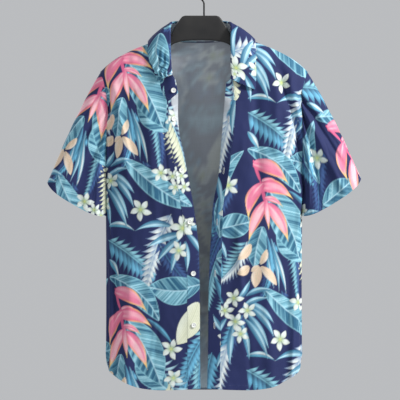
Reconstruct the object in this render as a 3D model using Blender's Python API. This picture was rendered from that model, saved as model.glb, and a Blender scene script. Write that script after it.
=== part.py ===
"""Short-sleeved hawaiian shirt, worn open, on a plain black hanger.

Every cloth piece is one wall of even thickness, built on a middle surface that
neighbouring pieces share along their seams. The tables hold the garment's sizes in
millimetres. "Drop" is the distance down from the level of the neck's high points,
"girth" runs round the body from 0 at the centre front over 1 at a side seam to 2 at
the centre back, and is negative on the side of -X, which is the wearer's right.
The origin is the inside of the hook's crown, where a rail carries the hanger.
"""

import math

import bmesh
import bpy
import numpy as np
from mathutils import Vector

MM = 0.001
NECK_LEVEL = -134.5  # height of drop 0, below the inside of the hook's crown

# Cloth
WALL = 2.0  # shirting with its seam turnings, as one wall
PLACKET_WALL = 2.6  # the placket is folded double
COLLAR_WALL = 1.8
SEAM_GAP = 0.2  # each piece stops this far short of a seam line
STAND_GAP = 0.5

# Body
SHOULDER_X, SHOULDER_DROP = 219.0, 62.0
ARMPIT_DROP = 302.0
SIDE_HEM_DROP = 655.0
NECK_X = -7.0  # the neck sits a little off the body's middle
NECK_HALF = 88.0
BACK_NECK_DROP = -2.0
PLACKET_WIDTH = 27.0
PLACKET_TURN = 11.0  # furthest that a free edge is turned in
ROUNDNESS = 1.4  # half the exponent of the body's rounded section
ARMHOLE_TURN = 0.26  # share of the side quarter that the armhole cuts off at its top
ARMHOLE_BEND = 0.7
SHOULDER_ROLL = 70.0  # the cloth rolls over the shoulder within this drop

# Half width of the shirt at the armhole seam and, below it, at the side.
WIDTH = {
    "drop": (62, 80, 100, 150, 302, 480, 640, 740),
    "half": (219, 212, 208, 206.5, 207, 206, 206.5, 208),
}
# How far the front and the back stand from the plane of the side seams.
DEPTH = {
    "drop": (-40, 0, 60, 150, 250, 420, 600, 740),
    "front": (22, 28, 37, 44, 47, 45, 42, 40),
    "back": (24, 28, 34, 39, 41, 39, 37, 35),
}
# The ridge of the shoulders, from the middle of the neck to the sleeve head.
RIDGE = {
    "x": (0, 45, 70, 88, 113, 155, 193, 211, 219),
    "drop": (-34, -25, -17, -10, 0, 17.5, 39, 54, 62),
}
# Free edges of the open fronts: distance of each from the middle plane.
FRONT_EDGE = {
    "drop": (90, 113, 164, 204, 229, 258, 290, 338, 395, 422, 500, 647, 733),
    -1: (54, 54.5, 54.5, 50, 43, 38, 32, 23, 15, 12, 9.5, 8.5, 7.5),
    1: (44, 44, 40, 37, 35, 33, 29, 20, 16, 14, 10.5, 8.5, 6.5),
}
EDGE_TOP_DROP = {-1: 107.0, 1: 114.0}
# The placket is PLACKET_WIDTH wide along the cloth; where it shows narrower from the
# front, its free edge is turned in towards the body.
PLACKET_SHOWN = {
    "drop": (107, 165, 205, 250, 300, 345, 425, 740),
    -1: (20.5, 20.5, 22.5, 24.5, 26, 26.5, 26.5, 26.5),
    1: (21.5, 25, 25, 21.5, 20.5, 21, 24, 26.5),
}
SEAM_TOP_DROP = {-1: 124.0, 1: 123.0}  # top of the seam between a placket and its front
# Control points of the front neckline, from the high point to the top of that seam,
# each as distance from the middle plane and drop.
NECK_CURVE = {-1: ((99, 75), (90, 118)), 1: ((85, 75), (79, 117))}
# The curved hem: drop at each girth.
HEM = {
    "girth": (0, 0.19, 0.385, 0.53, 0.67, 0.82, 0.9, 1.0, 1.1, 1.18, 1.33, 1.47, 1.6, 2.0),
    "drop": (728, 731, 731, 725, 711, 695, 681, 655, 680, 696, 714, 727, 732, 734),
}
# Large folds of the body. Each runs down from girth `top` to girth `bottom`, between
# the two drops, `spread` wide either side and `rise` out of the cloth (in, if negative).
BODY_FOLDS = [
    dict(top=0.80, bottom=0.66, start=70, end=330, spread=0.045, rise=-6.0),
    dict(top=0.88, bottom=0.78, start=90, end=420, spread=0.05, rise=4.5),
    dict(top=0.34, bottom=0.40, start=40, end=300, spread=0.055, rise=-3.5),
    dict(top=0.46, bottom=0.52, start=330, end=760, spread=0.07, rise=3.5),
    dict(top=0.93, bottom=0.98, start=380, end=760, spread=0.07, rise=-4.0),
    dict(top=-0.80, bottom=-0.74, start=90, end=330, spread=0.05, rise=-4.0),
    dict(top=-0.42, bottom=-0.36, start=60, end=380, spread=0.06, rise=2.5),
    dict(top=-0.55, bottom=-0.62, start=360, end=760, spread=0.08, rise=3.5),
    dict(top=-0.95, bottom=-0.9, start=420, end=760, spread=0.06, rise=-3.5),
    dict(top=1.30, bottom=1.42, start=60, end=420, spread=0.06, rise=-5.0),
    dict(top=1.62, bottom=1.70, start=260, end=760, spread=0.09, rise=5.0),
    dict(top=-1.28, bottom=-1.36, start=80, end=460, spread=0.06, rise=-4.5),
    dict(top=-1.55, bottom=-1.62, start=220, end=760, spread=0.09, rise=4.5),
    dict(top=-1.86, bottom=-1.9, start=150, end=700, spread=0.08, rise=-4.0),
]

# Sleeves, in the same drops. The cuff runs from its outer tip to its inner end.
CUFF_TIP = {-1: (330, 293), 1: (331, 285)}
CUFF_INNER = (217, 364)
CUFF_HALF_DEPTH = 34.0
CUFF_END_ROUND, CUFF_FACE_ROUND = 0.85, 0.75  # below 1, the cuff's section fills out
CUFF_SAG = 15.0  # the front and back of the cuff hang lower than its two ends
SLEEVE_CROWN = 5.0  # outward bow of the sleeve's top line
SLEEVE_SWELL = 5.0
# The sleeve starts SLEEVE_HEAD_OFFSET out from the armhole, and at the underarm a
# further SLEEVE_OFFSET, to which UNDERARM_PUSH is added within UNDERARM_REACH of its length.
SLEEVE_HEAD_OFFSET = 0.4
SLEEVE_OFFSET = 2.6
UNDERARM_PUSH = 6.0
UNDERARM_REACH = 0.3
# Folds along the sleeves: place round the tube, from 0 at the top over 0.5 at the
# underarm, and the share of the sleeve's length over which each fades in and out.
SLEEVE_FOLDS = {
    -1: [
        dict(around=0.17, start=0.0, end=0.9, spread=0.05, rise=-3.0),
        dict(around=0.33, start=0.25, end=1.1, spread=0.05, rise=3.0),
        dict(around=0.72, start=0.1, end=1.1, spread=0.06, rise=-3.5),
    ],
    1: [
        dict(around=0.10, start=0.0, end=0.7, spread=0.04, rise=-4.0),
        dict(around=0.27, start=0.2, end=1.1, spread=0.05, rise=-3.5),
        dict(around=0.78, start=0.1, end=1.1, spread=0.06, rise=-3.5),
    ],
}

# Collar. "Station" runs along the neckline from 0 at a front end over 1 at the neck's
# high point to 2 at the centre back. The fold line is given by its distance from the
# middle of the neck and its drop on each side, then by how far back it stands.
COLLAR = {
    "station": (0, 0.15, 0.40, 0.75, 1.0, 1.3, 1.65, 2.0),
    -1: ((53, 79), (60, 67), (63.5, 46), (65.5, 2), (65, -34), (56, -42), (31, -44), (0, -44)),
    1: ((54, 84), (64, 75), (65, 50), (65.5, 2), (65, -34), (56, -42), (31, -44), (0, -44)),
    "y": (-43, -46, -43, -29, -9, 6, 15, 18),
}
# The leaf's outer edge: distance from the middle of the neck, and how far down the
# front (negative) or the back it lies, measured along the cloth from the shoulder seam.
LEAF = {
    "station": (0.15, 0.32, 0.45, 0.60, 0.80, 1.0, 1.3, 1.65, 2.0),
    -1: (
        (91, -100), (97, -78), (104, -62), (109, -45), (111, -21),
        (111, 2), (101, 25), (62, 39), (0, 43),
    ),
    1: (
        (116, -114), (116.5, -90), (116.5, -69), (116, -47), (115.5, -22),
        (114, 2), (101, 25), (62, 39), (0, 43),
    ),
}
# The leaf's first rows roll over the stand's top edge: height above it, distance out.
LEAF_ROLL = ((2.9, -0.2), (2.2, 2.6), (-1.5, 4.0))
# Rise of the leaf between the fold and its edge, and how far that edge lies off the
# middle of the panel under it.
LEAF_BULGE = {"station": (0.15, 0.6, 1.0, 1.4, 2.0), "rise": (4.5, 4.0, 5.0, 4.5, 4.0)}
LEAF_LIFT = {"station": (0.15, 0.6, 0.85, 1.05, 1.35, 2.0), "lift": (4.4, 3.8, 5.0, 6.2, 4.6, 3.6)}

# Buttons, sewn to the placket on the side of -X and to that end of the stand.
BUTTON_DROPS = (161, 269, 377, 485, 594)
BUTTON_LIFT = 0.5
BUTTON_SIDES = 14
# Half section of a button: distance from its axis, height.
BUTTON_PROFILE = ((0, 0), (5.0, 0), (5.3, 1.7), (4.6, 2.4), (3.4, 1.8), (0, 1.7))

# Hanger: a flat board with two arms under the shoulders. Stations go out from the
# neck's middle; each has the board's top and bottom edge.
BOARD_HALF_THICK = 7.0
BOARD_SIDES = 12
BOARD_ROUND = 0.95  # corner radius, as a share of the half thickness
BOARD = {
    "x": (0, 20, 34, 41, 49, 57, 64, 73),
    "top": (-57.5, -57.5, -57.5, -54, -43, -29, -15, -2),
    "bottom": (-6, -5.5, -4, -3, -1, 2, 7, 14),
}
# Arms: upper edge below the shoulder seam, height and half thickness, going outwards.
ARM = {
    "x": (81, 113, 155, 193, 211),
    "below": (5.4, 4.9, 4.6, 5.0, 7.0),
    "deep": (20, 20, 19, 16, 12),
    "half_thick": (7.0, 7.0, 7.0, 6.6, 6.0),
}
ARM_END_X = 212.0
HOOK_WIRE = 1.8
HOOK_INNER = 21.0
HOOK_START, HOOK_END = 205.0, -38.0  # degrees round the crown
HOOK_GAP = 0.2  # the wire stops this far above the board
HOOK_BEND = 22.0  # height over which the stem swings out to the crown
BEND_STEPS, CROWN_STEPS = 7, 18

# How finely the pieces are cut up.
NECK_STEPS = 7
BACK_NECK_STEPS = 5
SHOULDER_STEPS = 11
ARMHOLE_STEPS = 12
SIDE_STEPS = 10
BACK_SPLIT_ROW = 8
PLACKET_STEPS = 2
SLEEVE_STEPS = 8
STAND_STEPS = 3
LEAF_STEPS = 5
# Steps along an armhole and along a neckline grow by these powers.
ARMHOLE_SPACING, NECK_SPACING = 1.5, 1.3

PRINT_NAVY = (0.045, 0.04, 0.13, 1.0)
PRINT_TEAL = (0.10, 0.32, 0.44, 1.0)
SHELL_WHITE = (0.85, 0.86, 0.84, 1.0)
HANGER_BLACK = (0.012, 0.012, 0.013, 1.0)
HOOK_METAL = (0.03, 0.03, 0.032, 1.0)


def smooth(x, xs, ys):
    """Value at x of a smooth curve through the points (xs, ys), held flat outside."""
    xs, ys = np.asarray(xs, float), np.asarray(ys, float)
    x = np.clip(x, xs[0], xs[-1])
    slope = np.gradient(ys, xs)
    k = np.clip(np.searchsorted(xs, x, side="right") - 1, 0, len(xs) - 2)
    h = xs[k + 1] - xs[k]
    t = (x - xs[k]) / h
    return (
        ys[k] * (1 + 2 * t) * (1 - t) ** 2
        + ys[k + 1] * t * t * (3 - 2 * t)
        + h * slope[k] * t * (1 - t) ** 2
        - h * slope[k + 1] * t * t * (1 - t)
    )


def ramp(x, start, end):
    """0 before start, 1 after end, smooth between."""
    t = np.clip((x - start) / (end - start), 0, 1)
    return t * t * (3 - 2 * t)


def armhole_share(drop):
    """Girth, from 0 to 1, at which the front or the back ends at the armhole."""
    t = np.clip((drop - SHOULDER_DROP) / (ARMPIT_DROP - SHOULDER_DROP), 0, 1)
    return 1 - ARMHOLE_TURN * (1 - t) ** ARMHOLE_BEND


def across(share):
    """Half width, as a share of the section's, at a share of the quarter girth."""
    return np.sin(math.pi / 2 * share**ROUNDNESS) ** (1 / ROUNDNESS)


def outward(share):
    """Depth, as a share of the section's, at a share of the quarter girth."""
    return np.maximum(np.cos(math.pi / 2 * share**ROUNDNESS), 0) ** (1 / ROUNDNESS)


def section_half_width(drop):
    """Half width of the whole section that the panels are cut from."""
    return smooth(drop, WIDTH["drop"], WIDTH["half"]) / across(armhole_share(drop))


def share_at(x, drop):
    """Share of the quarter girth at a distance x from the middle plane."""
    rise = np.clip(x / section_half_width(drop), 0, 1) ** ROUNDNESS
    return (np.arcsin(rise) * 2 / math.pi) ** (1 / ROUNDNESS)


def ridge_drop(x):
    """Drop of the shoulder seam at a distance x from the middle plane."""
    return smooth(x, RIDGE["x"], RIDGE["drop"])


def fold_height(girth, drop):
    """How far the body's folds lift the cloth at a girth and a drop."""
    total = 0.0
    for fold in BODY_FOLDS:
        along = (drop - fold["start"]) / (fold["end"] - fold["start"])
        middle = fold["top"] + (fold["bottom"] - fold["top"]) * along
        fade = ramp(along, 0, 0.3) * (1 - ramp(along, 0.8, 1.05) * (fold["end"] < 740))
        away = (girth - middle) / fold["spread"]
        total = total + fold["rise"] * fade * np.exp(-(away**2))
    return total * ramp(np.abs(np.abs(girth) - 1), 0, 0.13)


def body_point(girth, drop):
    """Point of the body's middle surface, in millimetres with height as drop."""
    side, reach = np.where(girth < 0, -1.0, 1.0), np.abs(girth)
    behind = reach > 1
    share = np.where(behind, 2 - reach, reach)
    half = section_half_width(drop)
    deep = np.where(
        behind,
        smooth(drop, DEPTH["drop"], DEPTH["back"]),
        -smooth(drop, DEPTH["drop"], DEPTH["front"]),
    )
    x = half * across(share)
    below = np.clip((drop - ridge_drop(x)) / SHOULDER_ROLL, 0, 1)
    roll = np.sqrt(1 - (1 - below) ** 2)
    y = deep * outward(share) * roll
    normal_x = across(share) ** (2 * ROUNDNESS - 1) / half
    normal_y = outward(share) ** (2 * ROUNDNESS - 1) / deep
    long = np.hypot(normal_x, normal_y)
    lift = fold_height(girth, drop) * roll
    return np.stack(
        [side * (x + lift * normal_x / long), y + lift * normal_y / long, drop], -1
    )


def coons(top, bottom, left, right):
    """Grid of points between four boundary lines, rows running from top to bottom."""
    u = (np.arange(len(top)) / (len(top) - 1))[None, :, None]
    falls = [(line[:, 1] - line[0, 1]) / (line[-1, 1] - line[0, 1]) for line in (left, right)]
    v = ((falls[0] + falls[1]) / 2)[:, None, None]
    straight = (1 - v) * top[None] + v * bottom[None]
    sideways = (1 - u) * left[:, None] + u * right[:, None]
    corners = (1 - v) * ((1 - u) * top[0] + u * top[-1]) + v * (
        (1 - u) * bottom[0] + u * bottom[-1]
    )
    return straight + sideways - corners


def side_line():
    """Girth and drop of a panel's side: armhole, then side seam."""
    steps = np.arange(ARMHOLE_STEPS + 1) / ARMHOLE_STEPS
    armhole = SHOULDER_DROP + (ARMPIT_DROP - SHOULDER_DROP) * steps**ARMHOLE_SPACING
    seam = np.linspace(ARMPIT_DROP, SIDE_HEM_DROP, SIDE_STEPS + 1)[1:]
    drop = np.concatenate([armhole, seam])
    return np.stack([armhole_share(drop), drop], -1)


def shoulder_line(neck_x):
    """Girth and drop of a shoulder seam, from the neck to the sleeve."""
    x = np.linspace(neck_x, SHOULDER_X, SHOULDER_STEPS + 1)
    drop = ridge_drop(x)
    share = share_at(x, drop)
    share[-1] = armhole_share(SHOULDER_DROP)
    return np.stack([share, drop], -1)


def hem_drop(girth):
    return smooth(np.abs(girth), HEM["girth"], HEM["drop"])


def hem_line(first, last, steps):
    girth = first + (last - first) * np.arange(steps + 1) / steps
    return np.stack([girth, hem_drop(girth)], -1)


def free_edge_x(side, drop):
    return smooth(drop, FRONT_EDGE["drop"], FRONT_EDGE[side])


def seam_x(side, drop):
    return free_edge_x(side, drop) + smooth(drop, PLACKET_SHOWN["drop"], PLACKET_SHOWN[side])


def seam_rows(first, last):
    """Drops of the rows below the neckline, evenly from the first to the last."""
    return np.linspace(first, last, ARMHOLE_STEPS + SIDE_STEPS - NECK_STEPS + 1)


def front_grid(side):
    """Middle surface of a front: rows from the neckline and the placket to the side."""
    neck_x = NECK_HALF + side * NECK_X
    first = SEAM_TOP_DROP[side]
    last = float(hem_drop(share_at(seam_x(side, 730.0), 730.0)))
    route = np.array([(neck_x, ridge_drop(neck_x)), *NECK_CURVE[side], (seam_x(side, first), first)])
    t = ((np.arange(NECK_STEPS + 1) / NECK_STEPS) ** NECK_SPACING)[:, None]
    weights = np.hstack([(1 - t) ** 3, 3 * t * (1 - t) ** 2, 3 * t * t * (1 - t), t**3])
    neckline = weights @ route
    down = seam_rows(first, last)[1:]
    left = np.concatenate([neckline, np.stack([seam_x(side, down), down], -1)])
    left[:, 0] = share_at(left[:, 0], left[:, 1])
    top, right = shoulder_line(neck_x), side_line()
    bottom = hem_line(left[-1, 0], 1.0, len(top) - 1)
    left[0], left[-1] = top[0], bottom[0]
    flat = coons(top, bottom, left, right)
    return body_point(side * flat[..., 0], flat[..., 1])


def placket_grid(side, seam):
    """Middle surface of a placket, from its free edge to the seam of its front."""
    drop = seam_rows(EDGE_TOP_DROP[side], float(hem_drop(0.0)))
    free = body_point(side * share_at(free_edge_x(side, drop), drop), drop)
    shown = smooth(drop, PLACKET_SHOWN["drop"], PLACKET_SHOWN[side])
    turned = np.sqrt(np.maximum(PLACKET_WIDTH**2 - shown**2, 0))
    free[:, 1] += np.minimum(turned, PLACKET_TURN) * ramp(drop, 108, 150)
    t = (np.arange(PLACKET_STEPS + 1) / PLACKET_STEPS)[None, :, None]
    return (1 - t) * free[:, None] + t * seam[:, None]


def back_grid():
    """Middle surface of the back, from the side of -X to the side of +X."""
    halves = []
    for side in (-1, 1):
        neck_x = NECK_HALF + side * NECK_X
        t = np.arange(BACK_NECK_STEPS + 1) / BACK_NECK_STEPS
        x = NECK_X * side + (neck_x - NECK_X * side) * t
        drop = BACK_NECK_DROP + (ridge_drop(neck_x) - BACK_NECK_DROP) * t**2
        share = np.sign(x) * share_at(np.abs(x), drop)
        top = np.concatenate([np.stack([share, drop], -1), shoulder_line(neck_x)[1:]])
        right = side_line()
        rows = (right[:, 1] - right[0, 1]) / (right[-1, 1] - right[0, 1])
        left = np.stack(
            [
                top[0, 0] * (1 - rows),
                BACK_NECK_DROP + (float(hem_drop(2.0)) - BACK_NECK_DROP) * rows,
            ],
            -1,
        )
        girth = np.linspace(0, 1, len(top))
        bottom = np.stack([girth, hem_drop(2 - girth)], -1)
        flat = coons(top, bottom, left, right)
        share = flat[..., 0]
        girth = np.where(share < 0, -side * (2 + share), side * (2 - share))
        halves.append(body_point(girth, flat[..., 1]))
    return np.concatenate([halves[0][:, ::-1], halves[1][:, 1:]], axis=1)


def sleeve_grid(side, front_edge, back_edge):
    """Middle surface of a sleeve, as rings from the armhole to the cuff."""
    ring = np.concatenate([front_edge, back_edge[-2:0:-1]])
    count = len(ring)
    around = np.arange(count) / count
    angle = 2 * math.pi * around
    tip, inner = np.array(CUFF_TIP[side], float), np.array(CUFF_INNER, float)
    middle, half = (tip + inner) / 2, (tip - inner) / 2
    lengthways = np.sign(np.cos(angle)) * np.abs(np.cos(angle)) ** CUFF_END_ROUND
    face = np.abs(np.sin(angle)) ** CUFF_FACE_ROUND
    out = np.array([-half[1], half[0]]) / np.hypot(*half)
    cuff_xz = middle + lengthways[:, None] * half + CUFF_SAG * (face**2)[:, None] * out
    depth = -np.sign(np.sin(angle)) * face * CUFF_HALF_DEPTH
    cuff = np.stack([side * cuff_xz[:, 0], depth, cuff_xz[:, 1]], -1)
    rows = []
    under = ((1 - np.cos(angle)) / 2) ** 1.3
    start = ring.copy()
    start[:, 0] += side * (SLEEVE_HEAD_OFFSET + SLEEVE_OFFSET * under)
    for step in range(SLEEVE_STEPS + 1):
        t = step / SLEEVE_STEPS
        bow = math.sin(math.pi * t)
        row = (1 - t) * start + t * cuff
        push = ramp(t, 0, UNDERARM_REACH) * (1 - ramp(t, 0.6, 1.0))
        row[:, 0] += side * UNDERARM_PUSH * push * under**2
        top_line = np.maximum(np.cos(angle), 0) ** 2
        row[:, 0] += side * SLEEVE_CROWN * bow * top_line
        row[:, 1] -= SLEEVE_SWELL * bow * np.sin(angle)
        lift = np.zeros(count)
        for fold in SLEEVE_FOLDS[side]:
            away = np.abs(around - fold["around"])
            fade = ramp(t, fold["start"], fold["start"] + 0.25)
            fade *= 1 - ramp(t, fold["end"] - 0.25, fold["end"])
            lift += fold["rise"] * fade * np.exp(-((away / fold["spread"]) ** 2))
        row[:, 1] -= lift * np.sin(angle)
        rows.append(row)
    return np.array(rows)


def collar_stations(neckline):
    """Station of each point of the neckline, by length, and its side."""
    run = np.concatenate([[0], np.cumsum(np.linalg.norm(np.diff(neckline, axis=0), axis=1))])
    peaks = PLACKET_STEPS + NECK_STEPS
    marks = [run[0], run[peaks], run[len(run) // 2], run[-1 - peaks], run[-1]]
    station = np.interp(run, marks, (0, 1, 2, 1, 0))
    side = np.where(np.arange(len(run)) <= len(run) // 2, -1, 1)
    return station, side


def collar_lines(neckline):
    """Fold line and leaf edge, one point for each point of the neckline."""
    folds, edges = [], []
    for station, side in zip(*collar_stations(neckline)):
        side = int(side)
        fold_x = NECK_X + side * smooth(station, COLLAR["station"], [p[0] for p in COLLAR[side]])
        fold_drop = smooth(station, COLLAR["station"], [p[1] for p in COLLAR[side]])
        folds.append((fold_x, smooth(station, COLLAR["station"], COLLAR["y"]), fold_drop))
        leaf_x = NECK_X + side * smooth(station, LEAF["station"], [p[0] for p in LEAF[side]])
        reach = smooth(station, LEAF["station"], [p[1] for p in LEAF[side]])
        lift = smooth(station, LEAF_LIFT["station"], LEAF_LIFT["lift"])
        edges.append(over_shoulder(float(leaf_x), float(reach), float(lift)))
    return np.array(folds), np.array(edges)


def over_shoulder(x, reach, lift):
    """Point `lift` off the body, `reach` from the shoulder seam along the cloth.

    Between the high points of the neck the body has no cloth; there the section of
    the neck's high points is used, moved back so that it passes over the collar.
    """
    side, far = (1 if x > 0 else -1), abs(x)
    drop = float(ridge_drop(far)) + np.linspace(0, 1, 200) ** 2 * 170.0
    share = share_at(far, drop)
    girth = side * (share if reach < 0 else 2 - share)
    points = body_point(girth, drop)
    run = np.concatenate([[0], np.cumsum(np.linalg.norm(np.diff(points[:, 1:], axis=0), axis=1))])
    at = float(np.interp(abs(reach), run, np.arange(200)))
    low = min(int(at), 198)
    point = points[low] + (points[low + 1] - points[low]) * (at - low)
    tangent = points[low + 1] - points[low]
    outward_side = -1.0 if reach < 0 else 1.0
    normal = np.array([0.0, outward_side * abs(tangent[2]), -abs(tangent[1])])
    if low == 0:
        normal = np.array([0.0, 0.0, -1.0])
    return point + lift * normal / np.linalg.norm(normal)


def stand_grid(neckline, folds):
    t = (np.arange(STAND_STEPS + 1) / STAND_STEPS)[:, None, None]
    return (1 - t) * neckline[None] + t * folds[None]


def leaf_grid(neckline, folds, edges, stations):
    """The leaf rolls over the stand's top edge and falls to its own outer edge."""
    rise = smooth(stations, LEAF_BULGE["station"], LEAF_BULGE["rise"])[:, None]
    up = folds - neckline
    up /= np.linalg.norm(up, axis=1, keepdims=True)
    along = np.gradient(folds, axis=0)
    along /= np.linalg.norm(along, axis=1, keepdims=True)
    out = np.cross(along, up)
    out /= np.linalg.norm(out, axis=1, keepdims=True)
    from_neck = folds * (1, 1.5, 0) - (NECK_X, 0, 0)
    out *= np.sign((out * from_neck).sum(1, keepdims=True))
    rows = [folds + up * high + out * far for high, far in LEAF_ROLL]
    start = rows.pop()
    for step in range(LEAF_STEPS + 1):
        t = step / LEAF_STEPS
        rows.append((1 - t) * start + t * edges + 4 * t * (1 - t) * rise * out)
    return np.array(rows)


ALL_SEAMS = ("top", "left", "right", "bottom")


class Net:
    """Middle surfaces together, so that pieces of one group share normals at seams."""

    def __init__(self):
        self.pieces = {}

    def add(self, name, grid, group, closed=False, seams=(), gap=SEAM_GAP):
        """grid[row, column] of points; closed joins the last column to the first."""
        self.pieces[name] = dict(grid=grid, group=group, closed=closed, seams=seams, gap=gap)

    def key(self, piece, point):
        return (piece["group"],) + tuple(int(round(value * 50)) for value in point)

    def finish(self, centre):
        """Points each piece outwards and adds up the unit normals at equal points."""
        totals = {}
        for piece in self.pieces.values():
            grid, closed = piece["grid"], piece["closed"]
            after = np.roll(grid, -1, axis=1) if closed else grid[:, 1:]
            before = grid if closed else grid[:, :-1]
            cross = np.cross(after[1:] - before[:-1], before[1:] - after[:-1])
            middle = (before[:-1] + after[1:]) / 2
            if (cross * (middle - centre(middle))).sum() < 0:
                cross = -cross
            own = np.zeros_like(grid)
            for row, column in np.ndindex(cross.shape[:2]):
                right = (column + 1) % grid.shape[1]
                for r, c in ((row, column), (row + 1, column), (row, right), (row + 1, right)):
                    own[r, c] += cross[row, column]
            own /= np.linalg.norm(own, axis=-1, keepdims=True)
            for r, c in np.ndindex(grid.shape[:2]):
                key = self.key(piece, grid[r, c])
                totals[key] = totals.get(key, 0) + own[r, c]
        for piece in self.pieces.values():
            normal = np.array([[totals[self.key(piece, p)] for p in row] for row in piece["grid"]])
            piece["normal"] = normal / np.linalg.norm(normal, axis=-1, keepdims=True)


def draw_back(piece):
    """Moves the rows or columns that lie on a seam a little into their own piece."""
    grid, closed, seams, gap = piece["grid"], piece["closed"], piece["seams"], piece["gap"]
    moved = grid.copy()
    inner = {"top": 1, "bottom": -2}
    for seam in seams:
        if seam in inner:
            line = 0 if seam == "top" else -1
            pull = grid[inner[seam]] - grid[line]
            pull /= np.linalg.norm(pull, axis=-1, keepdims=True)
            moved[line] += pull * gap
        elif not closed:
            line, near = (0, 1) if seam == "left" else (-1, -2)
            pull = grid[:, near] - grid[:, line]
            pull /= np.linalg.norm(pull, axis=-1, keepdims=True)
            moved[:, line] += pull * gap
    return moved


def to_row(point):
    """Millimetres with a drop, to metres in the part's frame."""
    return Vector((point[0] * MM, point[1] * MM, (NECK_LEVEL - point[2]) * MM))


def wall_object(name, piece, thick, material):
    """A closed wall of even thickness on a grid of points."""
    grid, closed = draw_back(piece), piece["closed"]
    height, width = grid.shape[:2]
    mesh = bpy.data.meshes.new(name)
    shell = bmesh.new()
    layers = []
    for half in (thick / 2, -thick / 2):
        points = grid + piece["normal"] * half
        layers.append([[shell.verts.new(to_row(p)) for p in row] for row in points])
    columns = width if closed else width - 1
    for layer in layers:
        for r in range(height - 1):
            for c in range(columns):
                a, b = layer[r][c], layer[r][(c + 1) % width]
                d, e = layer[r + 1][c], layer[r + 1][(c + 1) % width]
                shell.faces.new((a, b, e))
                shell.faces.new((a, e, d))
    outer, inner = layers
    rims = [[(r, c) for c in range(columns + 1)] for r in (0, height - 1)]
    if not closed:
        rims += [[(r, c) for r in range(height)] for c in (0, width - 1)]
    for rim in rims:
        for (r0, c0), (r1, c1) in zip(rim, rim[1:]):
            c0, c1 = c0 % width, c1 % width
            shell.faces.new((outer[r0][c0], outer[r1][c1], inner[r1][c1]))
            shell.faces.new((outer[r0][c0], inner[r1][c1], inner[r0][c0]))
    bmesh.ops.recalc_face_normals(shell, faces=shell.faces)
    if shell.calc_volume(signed=True) < 0:
        bmesh.ops.reverse_faces(shell, faces=shell.faces)
    shell.to_mesh(mesh)
    shell.free()
    return finish_object(name, mesh, material)


def finish_object(name, mesh, material):
    mesh.shade_smooth()
    mesh.set_sharp_from_angle(angle=math.radians(50))
    mesh.materials.append(material)
    made = bpy.data.objects.new(name, mesh)
    bpy.context.scene.collection.objects.link(made)
    return made


def make_material(name, colour, roughness, metallic=0.0):
    material = bpy.data.materials.new(name)
    material.use_nodes = True
    shader = material.node_tree.nodes["Principled BSDF"]
    shader.inputs["Base Color"].default_value = colour
    shader.inputs["Roughness"].default_value = roughness
    shader.inputs["Metallic"].default_value = metallic
    return material


def sew_button(name, place, normal, wall, material):
    """A turned button whose back lies just off the cloth's outer face."""
    normal = normal / np.linalg.norm(normal)
    centre = to_row(place + normal * (wall / 2 + BUTTON_LIFT))
    facing = (normal[0], normal[1], -normal[2])
    mesh = bpy.data.meshes.new(name)
    disc = bmesh.new()
    profile = [disc.verts.new((r * MM, 0, h * MM)) for r, h in BUTTON_PROFILE]
    edges = [disc.edges.new(pair) for pair in zip(profile, profile[1:])]
    bmesh.ops.spin(
        disc, geom=profile + edges, axis=(0, 0, 1), cent=(0, 0, 0), steps=BUTTON_SIDES,
        angle=2 * math.pi, use_merge=True,
    )
    bmesh.ops.remove_doubles(disc, verts=disc.verts, dist=0.00001)
    bmesh.ops.recalc_face_normals(disc, faces=disc.faces)
    turn = Vector(facing).to_track_quat("Z", "Y").to_matrix().to_4x4()
    bmesh.ops.transform(disc, matrix=turn, verts=disc.verts)
    disc.to_mesh(mesh)
    disc.free()
    made = finish_object(name, mesh, material)
    made.location = centre
    return made


def hanger_board(material, ridge_points):
    """The hanger's board and arms, lofted through upright rounded sections."""
    rows = {}
    for side in (-1, 1):
        rows[side] = [
            (NECK_X + side * x, top, bottom, BOARD_HALF_THICK)
            for x, top, bottom in zip(BOARD["x"], BOARD["top"], BOARD["bottom"])
        ]
        for x, drop in ridge_points[side]:
            if abs(x) <= ARM_END_X:
                top = drop + smooth(abs(x), ARM["x"], ARM["below"])
                bottom = top + smooth(abs(x), ARM["x"], ARM["deep"])
                rows[side].append((x, top, bottom, smooth(abs(x), ARM["x"], ARM["half_thick"])))
    line = rows[-1][:0:-1] + rows[1]
    mesh = bpy.data.meshes.new("hanger_body")
    board = bmesh.new()
    rings = []
    for x, top, bottom, half_thick in line:
        corner = min(half_thick, (bottom - top) / 2) * BOARD_ROUND
        ring = []
        for k in range(BOARD_SIDES):
            angle = 2 * math.pi * (k + 0.5) / BOARD_SIDES
            cosine, sine = math.cos(angle), math.sin(angle)
            y = cosine * corner + math.copysign(half_thick - corner, cosine)
            drop = (top + bottom) / 2 - sine * corner
            drop -= math.copysign((bottom - top) / 2 - corner, sine)
            ring.append(board.verts.new(to_row((x, y, drop))))
        rings.append(ring)
    for before, after in zip(rings, rings[1:]):
        for k in range(BOARD_SIDES):
            after_k = (k + 1) % BOARD_SIDES
            board.faces.new((before[k], before[after_k], after[after_k], after[k]))
    board.faces.new(rings[0])
    board.faces.new(rings[-1][::-1])
    bmesh.ops.recalc_face_normals(board, faces=board.faces)
    bmesh.ops.triangulate(board, faces=board.faces)
    board.to_mesh(mesh)
    board.free()
    return finish_object("hanger_body", mesh, material)


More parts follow.
